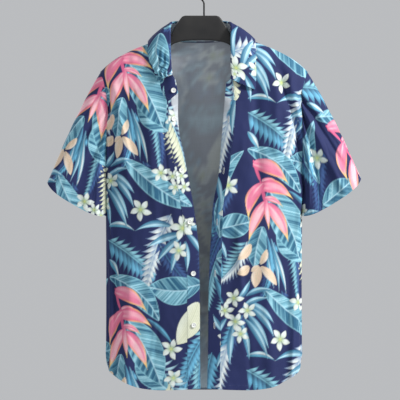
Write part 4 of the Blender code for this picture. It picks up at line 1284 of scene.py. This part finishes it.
CUFF_TIP = {-1: (330, 293), 1: (331, 285)}
CUFF_INNER = (205, 364)
CUFF_HALF_DEPTH = 31.0
CUFF_END_ROUND, CUFF_FACE_ROUND = 0.72, 0.62  # below 1, the cuff's section fills out
CUFF_SAG = 15.0
SLEEVE_CROWN = 5.0  # how far the outer fold bows out, and each face swells, halfway
SLEEVE_SWELL = 5.0
SLEEVE_TUCK = -1.0  # below 0, its head lies just under the panels' edge
UNDERARM_EASE = 0.6  # and less so at the underarm
UNDERARM_PUSH, UNDERARM_REACH = 0.6, 0.3  # how far the body holds it off, and from where
SLEEVE_COLUMNS = 324
SLEEVE_ROWS = 132
SLEEVE_RUMPLE, SLEEVE_SEED = 3.2, 70
RUMPLE_ROUND = (150, 55)  # rumples are read on a ring, so that they meet at the underarm
# Folds: place round the sleeve at the armhole and at the cuff, from 0 at the top over
# 0.5 at the underarm; start and end along it; spread; rise.
SLEEVE_FOLDS = {
    -1: (
        (0.17, 0.17, 0.0, 0.9, 0.05, -4.5),
        (0.33, 0.33, 0.25, 1.1, 0.05, 4.5),
        (0.72, 0.72, 0.1, 1.1, 0.06, -5.0),
        (0.24, 0.13, -0.15, 0.75, 0.016, 3.4),
        (0.28, 0.22, -0.15, 0.85, 0.016, -3.2),
        (0.31, 0.36, -0.15, 1.1, 0.017, 3.0),
        (0.12, 0.04, -0.1, 0.7, 0.016, -2.8),
        (0.40, 0.44, 0.1, 1.1, 0.015, -2.6),
        (0.66, 0.72, -0.1, 0.8, 0.016, 2.6),
        (0.78, 0.84, -0.1, 0.7, 0.016, -2.6),
    ),
    1: (
        (0.10, 0.10, 0.0, 0.7, 0.04, -5.5),
        (0.27, 0.27, 0.2, 1.1, 0.05, -5.0),
        (0.78, 0.78, 0.1, 1.1, 0.06, -5.0),
        (0.16, 0.05, -0.2, 0.75, 0.015, 5.2),
        (0.19, 0.13, -0.2, 0.85, 0.016, -5.0),
        (0.22, 0.21, -0.2, 1.1, 0.016, 5.0),
        (0.25, 0.31, -0.2, 1.1, 0.016, -4.6),
        (0.28, 0.40, -0.2, 1.1, 0.016, 3.8),
        (0.42, 0.44, 0.1, 1.1, 0.015, -2.6),
        (0.68, 0.74, -0.1, 0.8, 0.016, 2.6),
        (0.82, 0.88, -0.1, 0.7, 0.016, -2.6),
    ),
}
SLEEVE_SHIFT = {-1: (-202, 557), 1: (-160, 399)}  # of the print on each sleeve


def armhole_ring(side, half_count):
    """Points round an armhole, from the underarm up the back, over, and down the front."""
    drop = side_line(half_count, 1)[:-1, 1]
    share = armhole_share(drop)
    front, rear = body_point(side * share, drop), body_point(side * (2 - share), drop)
    return np.concatenate([rear[::-1], front[1:]])


def sleeve_surface(side):
    """Rings of a sleeve from the armhole to the cuff."""
    ring = armhole_ring(side, SLEEVE_COLUMNS // 2)
    around = np.linspace(-0.5, 0.5, SLEEVE_COLUMNS + 1)
    angle = 2 * math.pi * around
    tip, inner = np.array(CUFF_TIP[side], float), np.array(CUFF_INNER, float)
    middle, half = (tip + inner) / 2, (tip - inner) / 2
    lengthways = np.sign(np.cos(angle)) * np.abs(np.cos(angle)) ** CUFF_END_ROUND
    face = np.abs(np.sin(angle)) ** CUFF_FACE_ROUND
    out = np.array([-half[1], half[0]]) / np.hypot(*half)
    cuff = middle + lengthways[:, None] * half + CUFF_SAG * (face**2)[:, None] * out
    cuff = np.stack([side * cuff[:, 0], -np.sign(np.sin(angle)) * face * CUFF_HALF_DEPTH, cuff[:, 1]], -1)
    under = ((1 - np.cos(angle)) / 2) ** 1.3
    ring[:, 0] += side * (SLEEVE_TUCK + UNDERARM_EASE * under)
    t = np.linspace(0, 1, SLEEVE_ROWS + 1)[:, None]
    grid = (1 - t)[..., None] * ring + t[..., None] * cuff
    bow = np.sin(math.pi * t)
    push = ramp(t, 0, UNDERARM_REACH) * (1 - ramp(t, 0.6, 1.0)) * UNDERARM_PUSH * under**2
    grid[..., 0] += side * (push + SLEEVE_CROWN * bow * np.maximum(np.cos(angle), 0) ** 2)
    lift = SLEEVE_SWELL * bow
    for first, last, start, end, spread_out, rise in SLEEVE_FOLDS[side]:
        away = (around - first - (last - first) * t + 0.5) % 1 - 0.5
        fade = ramp(t, start, start + 0.25) * (1 - ramp(t, end - 0.25, end))
        lift = lift + rise * fade * np.exp(-((away / spread_out) ** 2))
    grid[..., 1] -= lift * np.sin(angle)
    return grid


sleeve_grids, sleeve_normals = {}, {}
for side in (-1, 1):
    grid = sleeve_surface(side)
    along = run_along(grid)
    # The straight grain of the cloth runs down the sleeve's outer fold.
    top = grid[:, SLEEVE_COLUMNS // 2]
    grain = unit(top[-1] - top[0])
    steps = np.diff(grid, axis=1)
    off_grain = np.sqrt(np.maximum((steps**2).sum(-1) - (steps @ grain) ** 2, 0))
    round_it = np.insert(np.cumsum(off_grain, axis=1), 0, 0.0, axis=1)
    round_it -= round_it[:, SLEEVE_COLUMNS // 2][:, None]
    place = np.stack([-side * round_it, (grid - top[0]) @ grain], -1)
    normal = grid_normals(grid, grid.mean(axis=1, keepdims=True))
    normal[:, 0] = normal[:, -1] = unit(normal[:, 0] + normal[:, -1])
    turn = 2 * math.pi * np.linspace(0, 1, SLEEVE_COLUMNS + 1)
    spot = RUMPLE_ROUND[0] * np.cos(turn) + RUMPLE_ROUND[1] * np.sin(turn)
    spot = np.stack(np.broadcast_arrays(spot, along), -1)
    grid = rumpled(grid, normal, spot, along, SLEEVE_RUMPLE, SLEEVE_SEED)
    grid = turned_up(grid, normal, along[-1:] - along)
    grid = seam_dip(grid, normal, along)
    sleeve_grids[side], sleeve_normals[side] = grid, normal
    dye = printed(place + SLEEVE_SHIFT[side])
    sleeve = cloth_piece(f"sleeve_{WORDS[side]}_cloth", grid, normal, place, dye, SHIRTING, tube=True)
    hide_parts(f"sleeve_{WORDS[side]}")

# ---------------------------------------------------------------- collar stand
# A stiffened band of two layers round the neck. Its two front ends stand free as
# tabs: one carries the collar button, the other its buttonhole.

# Where the collar folds over, at stations along half of the neckline from 0 at its
# front end over 1 at the high point to 2 at the middle: distance out and drop for each
# side, and y for both.
COLLAR = {
    "at": (0, 0.15, 0.40, 0.75, 1.0, 1.3, 1.65, 2.0),
    -1: ((53, 79), (60, 67), (63.5, 46), (65.5, 2), (65, -34), (56, -42), (31, -44), (0, -44)),
    1: ((54, 84), (64, 75), (65, 50), (65.5, 2), (65, -34), (56, -42), (31, -44), (0, -44)),
    "y": (-43, -46, -43, -29, -9, 6, 15, 18),
}
COLLAR_WALL = 1.2
STAND_HIGH, STAND_ROWS = 36, 24
NECK_COLUMNS = 144  # along each front's neckline, and along each half of the back's
PLACKET_TOP = 10
STAND_SHIFT = (30, 200)
NECK_MIDDLE = np.array((NECK_X, 0, 40.0))  # a point inside the neck


def neck_side(side):
    """Points of the neckline from a placket's free edge to the high point of the neck."""
    edge = placket_grids[side][0, :: PLACKET_COLUMNS // PLACKET_TOP] * 1.0
    line = front_neckline(side, NECK_COLUMNS)[::-1]
    points = body_point(side * share_at(line[:, 0], line[:, 1]), line[:, 1])
    return np.concatenate([edge[:-1], points])


def neck_back():
    """Points of the back's neckline between the high points, both left out."""
    halves = []
    for side in (-1, 1):
        t = np.linspace(1, 0, NECK_COLUMNS // 2 + 1)
        halves.append(behind_point(side, *back_neckline(side, t)))
    return np.concatenate([halves[0][1:], halves[1][-2:0:-1]])


neckline = np.concatenate([neck_side(-1), neck_back(), neck_side(1)[::-1]])
neck_run = run_along(neckline)
peak, last = PLACKET_TOP + NECK_COLUMNS, len(neckline) - 1
marks = [neck_run[i] for i in (0, peak, last // 2, last - peak, last)]
stations = np.interp(neck_run, marks, (0, 1, 2, 1, 0))
neck_sides = np.where(np.arange(last + 1) <= last // 2, -1, 1)


def by_station(table, part):
    """A table's column at every station of the neckline, each side from its own row."""
    values = [smooth(stations, table["at"], np.array(table[side])[:, part]) for side in (-1, 1)]
    return np.where(neck_sides < 0, *values)


fold_x = NECK_X + neck_sides * by_station(COLLAR, 0)
folds = np.stack([fold_x, reading(COLLAR, "y", stations), by_station(COLLAR, 1)], -1)
t = np.linspace(0, 1, STAND_ROWS + 1)[:, None, None]
stand_grid = (1 - t) * neckline[None] + t * folds[None]
stand_normal = grid_normals(stand_grid, NECK_MIDDLE)
place = np.stack(np.broadcast_arrays(neck_run[None], STAND_HIGH * (1 - t[..., 0])), -1)
dye = printed(place + STAND_SHIFT)
stand = cloth_piece("collar_stand_band", stand_grid, stand_normal, place, dye, COLLAR_WALL, every=2)
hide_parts("collar_stand")

# ---------------------------------------------------------------- collar leaf
# The turned-down leaf, of two layers with an interlining, stitched round its edge. It
# rolls over the stand and lies on the shoulders; its right side is crumpled.

# Where the leaf's edge lies, at the same stations: distance out, and reach along the
# cloth from the shoulder seam, forwards below 0.
LEAF = {
    "at": (0.15, 0.32, 0.45, 0.60, 0.80, 1.0, 1.3, 1.65, 2.0),
    -1: (
        (91, -100), (97, -78), (104, -62), (109, -45), (111, -21),
        (111, 2), (101, 25), (62, 39), (0, 43),
    ),
    1: (
        (116, -114), (116.5, -90), (116.5, -69), (116, -47), (115.5, -22),
        (114, 2), (101, 25), (62, 39), (0, 43),
    ),
}
LEAF_ROLL = {"at": range(4), "high": (1.0, 2.9, 2.2, -1.5), "far": (-0.9, -0.2, 2.6, 4.0)}
LEAF_BULGE = {"at": (0.15, 0.6, 1.0, 1.4, 2.0), "rise": (4.5, 4.0, 5.0, 4.5, 4.0)}
LEAF_LIFT = {
    "at": (0.15, 0.6, 0.85, 1.05, 1.35, 2.0),
    "lift": (4.4, 3.8, 5.0, 6.2, 4.6, 3.6),
}
ROLL_ROWS, LEAF_ROWS = 12, 60
REACH_STEPS, REACH_DROP = 200, 170.0  # for measuring down from the shoulder seam
PLEAT_HIGH, PLEAT_MIDDLE, PLEAT_SPREAD = 5.0, -0.8, 0.26
CALM_HIGH = 0.9  # the soft waves of the rest of the leaf
LEAF_SHIFT = {-1: (124, 486), 1: (-255, 375)}


def over_shoulder(x, reach, lift):
    """Point `lift` off the body, `reach` from the shoulder seam along the cloth."""
    side, far = (1 if x > 0 else -1), abs(x)
    drop = float(ridge_drop(far)) + np.linspace(0, 1, REACH_STEPS) ** 2 * REACH_DROP
    share = share_at(far, drop)
    points = body_point(side * (share if reach < 0 else 2 - share), drop)
    at = float(np.interp(abs(reach), run_along(points[:, 1:]), np.arange(REACH_STEPS)))
    low = min(int(at), REACH_STEPS - 2)
    tangent = points[low + 1] - points[low]
    normal = np.array([0.0, math.copysign(abs(tangent[2]), reach), -abs(tangent[1])])
    if low == 0:
        normal = np.array([0.0, 0.0, -1.0])
    return points[low] + tangent * (at - low) + lift * unit(normal)


part = slice(PLACKET_TOP, len(neckline) - PLACKET_TOP)
leaf_x = (NECK_X + neck_sides * by_station(LEAF, 0))[part]
leaf_reach = by_station(LEAF, 1)[part]
leaf_lift = reading(LEAF_LIFT, "lift", stations)[part]
edges = np.array([over_shoulder(*map(float, entry)) for entry in zip(leaf_x, leaf_reach, leaf_lift)])
leaf_folds = folds[part]
up = unit(leaf_folds - neckline[part])
out = unit(np.cross(np.gradient(leaf_folds, axis=0), up))
out *= np.sign((out * (leaf_folds * (1, 1.5, 0) - (NECK_X, 0, 0))).sum(1, keepdims=True))
rise = reading(LEAF_BULGE, "rise", stations[part])[:, None]
rows = []
for place in np.linspace(0, 3, ROLL_ROWS + 1):
    high, far = (float(reading(LEAF_ROLL, key, place)) for key in ("high", "far"))
    rows.append(leaf_folds + up * high + out * far)
start = rows.pop()
for t in np.linspace(0, 1, LEAF_ROWS + 1):
    rows.append((1 - t) * start + t * edges + 4 * t * (1 - t) * rise * out)
leaf_grid = np.array(rows)
leaf_normal = grid_normals(leaf_grid, NECK_MIDDLE)
# The right side is crushed into sharp pleats along the leaf, the rest waves a little.
across_leaf = np.linspace(-0.1, 1, len(leaf_grid))[:, None]
reach_out = np.linspace(-1, 1, leaf_grid.shape[1])[None]
crushed = ramp(across_leaf, 0.02, 0.3)
crushed = crushed * np.exp(-(((reach_out - PLEAT_MIDDLE) / PLEAT_SPREAD) ** 4))
lean = across_leaf * 7 + reach_out * 11 + 0.5 * np.sin(across_leaf * 6 - reach_out * 17)
pleats = np.abs((lean % 2) - 1) ** 1.3 - 0.42 + 0.22 * np.sin(reach_out * 70 + 3 * across_leaf)
calm = 0.5 * np.sin(reach_out * 26 + across_leaf * 2) * ramp(across_leaf, 0.1, 0.6)
high = PLEAT_HIGH * pleats * crushed + CALM_HIGH * calm
leaf_grid = leaf_grid + leaf_normal * high[..., None]
leaf_normal = grid_normals(leaf_grid, NECK_MIDDLE)
run = run_along(leaf_grid[ROLL_ROWS + LEAF_ROWS // 2])
run -= run[len(run) // 2]
place = np.stack(np.broadcast_arrays(run[None], run_along(leaf_grid)), -1)
dye = printed(place + np.where((run < 0)[None, :, None], LEAF_SHIFT[-1], LEAF_SHIFT[1]))
leaf = cloth_piece("collar_leaf_cloth", leaf_grid, leaf_normal, place, dye, COLLAR_WALL, every=2)
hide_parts("collar_leaf")

# ---------------------------------------------------------------- buttons
# Four-hole shell buttons, turned with a raised rim, and sewn with white thread to the
# wearer's right placket; one more closes the stand.

BUTTON_DROPS = (161, 269, 377, 485, 594)
BUTTON_RADIUS, BUTTON_THICK = 5.3, 2.4
BUTTON_LIFT = 0.5
BUTTON_ROUNDING = 0.45
DISH_RADIUS, DISH_DEEP, DISH_SLOPE = 3.5, 0.7, 0.4
HOLE_RADIUS, HOLE_OUT = 0.55, 1.15
HOLE_SIDE = HOLE_OUT * 0.7071  # from the middle to a hole, along and across
THREAD_RADIUS = 0.22
THREAD_APART = 0.16  # half the distance between two lengths in the same holes
THREAD_HIGH, THREAD_BURIED = 0.25, -0.6  # over the dish's floor, and below the button

bpy.ops.object.select_all(action="DESELECT")
bpy.ops.mesh.primitive_cylinder_add(
    vertices=48,
    radius=BUTTON_RADIUS * MM,
    depth=BUTTON_THICK * MM,
    location=(0, 0, BUTTON_THICK / 2 * MM),
)
button = bpy.context.object
bpy.ops.object.transform_apply(location=True, rotation=True, scale=True)
bpy.ops.object.mode_set(mode="EDIT")
select_facing(button, (0, 0, 1))
bpy.ops.mesh.inset(thickness=(BUTTON_RADIUS - DISH_RADIUS - DISH_SLOPE) * MM)
bpy.ops.mesh.inset(thickness=DISH_SLOPE * MM, depth=-DISH_DEEP * MM)
bpy.ops.object.mode_set(mode="OBJECT")
round_edges(button, BUTTON_ROUNDING, 3, 35)
for quarter in range(4):
    angle = math.pi / 4 + math.pi / 2 * quarter
    bpy.ops.mesh.primitive_cylinder_add(
        vertices=16,
        radius=HOLE_RADIUS * MM,
        depth=4 * BUTTON_THICK * MM,
        location=(HOLE_OUT * math.cos(angle) * MM, HOLE_OUT * math.sin(angle) * MM, 0),
    )
    drill = bpy.context.object
    bore = button.modifiers.new("hole", "BOOLEAN")
    bore.operation = "DIFFERENCE"
    bore.solver = "EXACT"
    bore.object = drill
    bpy.context.view_layer.objects.active = button
    bpy.ops.object.modifier_apply(modifier=bore.name)
    bpy.data.objects.remove(drill)
shade(button.data, 40)

SHELL_STOPS = ((0.3, (0.70, 0.72, 0.70)), (0.7, (0.88, 0.90, 0.87)))
shell, shader, _ = mottled("button_shell", (420, 3, 0.5, "pearl"), SHELL_STOPS, (0.16, 0.32))
shader.inputs["Coat Weight"].default_value = 0.35
shader.inputs["Coat Roughness"].default_value = 0.1

COTTON_STOPS = ((0.3, (0.50, 0.53, 0.55)), (0.7, (0.78, 0.80, 0.82)))
cotton, shader, twist = mottled("sewing_thread", (2600, 2, 0.5, "twist"), COTTON_STOPS, (0.55, 0.8))
add_bump(cotton, shader, twist, 0.4, 0.0002)


def sew_on(name, centre, normal):
    """Sets a copy of the button on the cloth, with its thread, facing along the normal."""
    turn = Vector((normal[0], normal[1], -normal[2])).to_track_quat("Z", "Y").to_matrix().to_4x4()
    turn.translation = Vector(in_room(centre))
    floor_level = BUTTON_THICK - DISH_DEEP
    # Up through one hole, over, and down through the next: across the button and height.
    route = ((1, THREAD_BURIED), (1, floor_level), (0.6, floor_level + THREAD_HIGH))
    route = [(-far, high) for far, high in route] + list(route[::-1])
    lengths = []
    for pair in (HOLE_SIDE, -HOLE_SIDE):
        for apart in (-THREAD_APART, THREAD_APART):
            points = [(pair + apart, far * HOLE_SIDE, high) for far, high in route]
            lengths.append([turn @ (Vector(point) * MM) for point in points])
    sewn = wire_mesh(f"{name}_thread", lengths, THREAD_RADIUS, 1, cotton)
    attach(sewn, "root")
    disc = button.data.copy()
    disc.transform(turn)
    disc = place_mesh(f"{name}_disc", disc, shell)
    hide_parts(name)


band, band_normal = placket_grids[-1], placket_normals[-1]
for number, drop in enumerate(BUTTON_DROPS, 1):
    row = int(np.searchsorted(band[:, PLACKET_COLUMNS // 2, 2], drop))
    point, normal = band[row, PLACKET_COLUMNS // 2], band_normal[row, PLACKET_COLUMNS // 2]
    sew_on(f"button_{number}", point + normal * (PLACKET_WALL / 2 + BUTTON_LIFT), normal)
row, column = STAND_ROWS // 3, PLACKET_TOP // 2
point, normal = stand_grid[row, column], stand_normal[row, column]
sew_on("collar_button", point + normal * (COLLAR_WALL / 2 + BUTTON_LIFT), normal)
bpy.data.objects.remove(button)

# ---------------------------------------------------------------- buttonholes
# Worked in white thread: five upright ones down the left placket, and one in the
# stand's left end. Each is a bound oval round a dark cord that is painted shade in the slit.

HOLE_LONG, HOLE_HALF_WIDE = 14.0, 1.15
BINDING_RADIUS, BINDING_LIFT = 0.42, 0.1
OVAL_STEPS, OVAL_SQUARENESS = 32, 0.6
# The dark cord that is painted shade in each slit: half length, radius, lift.
SLIT_HALF_LONG, SLIT_RADIUS, SLIT_LIFT = 5.6, 0.3, 0.12

# Near-black painted shade for the slits, mottled a little.
DARK_STOPS = ((0.3, (0.012, 0.014, 0.03)), (0.7, (0.03, 0.034, 0.06)))
dark = mottled("slit_shadow", (700, 2, 0.5, "shade_mottle"), DARK_STOPS, (0.8, 0.95))[0]

band, band_normal = placket_grids[1], placket_normals[1]
centre_column = PLACKET_COLUMNS // 2
# Seats: point on the cloth, direction down the hole, and out.
seats = []
for drop in BUTTON_DROPS:
    row = int(np.searchsorted(band[:, centre_column, 2], drop))
    normal = band_normal[row, centre_column]
    down = band[row + 4, centre_column] - band[row - 4, centre_column]
    seats.append((band[row, centre_column] + normal * (PLACKET_WALL / 2), unit(down), normal))
row, column = STAND_ROWS // 2, len(neckline) - 1 - PLACKET_TOP
normal = stand_normal[row, column]
down = stand_grid[row - 3, column] - stand_grid[row + 3, column]
seats.append((stand_grid[row, column] + normal * (COLLAR_WALL / 2), unit(down), normal))
bindings, slit_shade_runs = [], []
for point, down, normal in seats:
    sideways = np.cross(down, normal) * HOLE_HALF_WIDE
    oval = []
    for step in range(OVAL_STEPS + 1):
        angle = 2 * math.pi * step / OVAL_STEPS
        far = math.copysign(abs(math.cos(angle)) ** OVAL_SQUARENESS, math.cos(angle))
        spot = point + down * far * HOLE_LONG / 2 + sideways * math.sin(angle)
        oval.append(in_room(spot + normal * BINDING_LIFT))
    bindings.append(oval)
    # Down the middle, a dark cord: painted shade in the slit.
    middle = point + normal * SLIT_LIFT
    ends = np.linspace(-SLIT_HALF_LONG, SLIT_HALF_LONG, 7)
    slit_shade_runs.append([in_room(middle + down * far) for far in ends])
bound = wire_mesh("buttonhole_bindings", bindings, BINDING_RADIUS, 1, cotton)
slit_shade = wire_mesh("buttonhole_slit_shade", slit_shade_runs, SLIT_RADIUS, 1, dark)
for piece in (bound, slit_shade):
    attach(piece, "root")

# ---------------------------------------------------------------- stitching
# Lockstitch in thread that matches the ground: along both edges of the plackets,
# round the collar, and above the turned-up hems of the body and the cuffs.

STITCH_LONG, STITCH_PITCH = 2.1, 2.8
STITCH_HALF_WIDE, STITCH_HIGH, STITCH_SUNK = 0.24, 0.22, 0.1
LEAF_STITCH, LEAF_END_COLUMN = 5.0, 4  # in from the leaf's edge, and from its two ends
# Corners of a stitch: its two ends, its two sides, its top and its underside.
STITCH_FACES = ((0, 2, 4), (2, 1, 4), (1, 3, 4), (3, 0, 4), (2, 0, 5), (1, 2, 5), (3, 1, 5), (0, 3, 5))

TONAL_STOPS = ((0.3, (0.045, 0.075, 0.16)), (0.7, (0.11, 0.17, 0.29)))
tonal, shader, ply = mottled("tonal_thread", (2400, 2, 0.5, "ply"), TONAL_STOPS, (0.45, 0.7))
add_bump(tonal, shader, ply, 0.4, 0.0002)


def stitch_row(points, normals):
    """Stitches along a line on the cloth: the corners of each."""
    run = run_along(points)
    at = np.arange(STITCH_PITCH, run[-1] - STITCH_PITCH, STITCH_PITCH)

    def along(values, offset):
        return np.stack([np.interp(at + offset, run, values[:, k]) for k in range(3)], -1)

    start, end = along(points, -STITCH_LONG / 2), along(points, STITCH_LONG / 2)
    middle, up = (start + end) / 2, unit(along(normals, 0))
    wide = unit(np.cross(up, end - start)) * STITCH_HALF_WIDE
    top, underside = middle + up * STITCH_HIGH, middle - up * STITCH_SUNK
    return np.stack([start, end, middle + wide, middle - wide, top, underside], 1)


def on_face(points, normals, wall):
    """A line on the face of a wall of cloth, with its normals."""
    return points + normals * wall / 2, normals


def above_edge(grid, normal, distance, wall):
    """Line on a piece of cloth where each column is a distance above its last row."""
    above = run_along(grid[::-1])

    def read_off(values, column):
        return [np.interp(distance, above[:, column], values[::-1, column, k]) for k in range(3)]

    columns = range(grid.shape[1])
    points, normals = (np.array([read_off(values, j) for j in columns]) for values in (grid, normal))
    return on_face(points, unit(normals), wall)


lines = []
for side in (-1, 1):
    band, band_normal = placket_grids[side], placket_normals[side]
    for column in (1, PLACKET_COLUMNS - 1):
        lines.append(on_face(band[:, column], band_normal[:, column], PLACKET_WALL))
    lines.append(above_edge(front_grids[side], front_normals[side], HEM_STITCH, SHIRTING))
    lines.append(above_edge(sleeve_grids[side], sleeve_normals[side], HEM_STITCH, SHIRTING))
lines.append(above_edge(back_grid, back_normal, HEM_STITCH, SHIRTING))
lines.append(above_edge(leaf_grid, leaf_normal, LEAF_STITCH, COLLAR_WALL))
for column in (LEAF_END_COLUMN, -1 - LEAF_END_COLUMN):
    rows = slice(ROLL_ROWS, None)
    lines.append(on_face(leaf_grid[rows, column], leaf_normal[rows, column], COLLAR_WALL))
for row in (2, STAND_ROWS - 2):
    lines.append(on_face(stand_grid[row], stand_normal[row], COLLAR_WALL))
corners = np.concatenate([stitch_row(*line) for line in lines])
faces = np.arange(len(corners))[:, None, None] * 6 + np.array(STITCH_FACES)[None]
mesh = bpy.data.meshes.new("lockstitch")
mesh.from_pydata(in_room(corners.reshape(-1, 3)).tolist(), [], faces.reshape(-1, 3).tolist())
mesh.shade_smooth()
stitches = place_mesh("lockstitch", mesh, tonal)
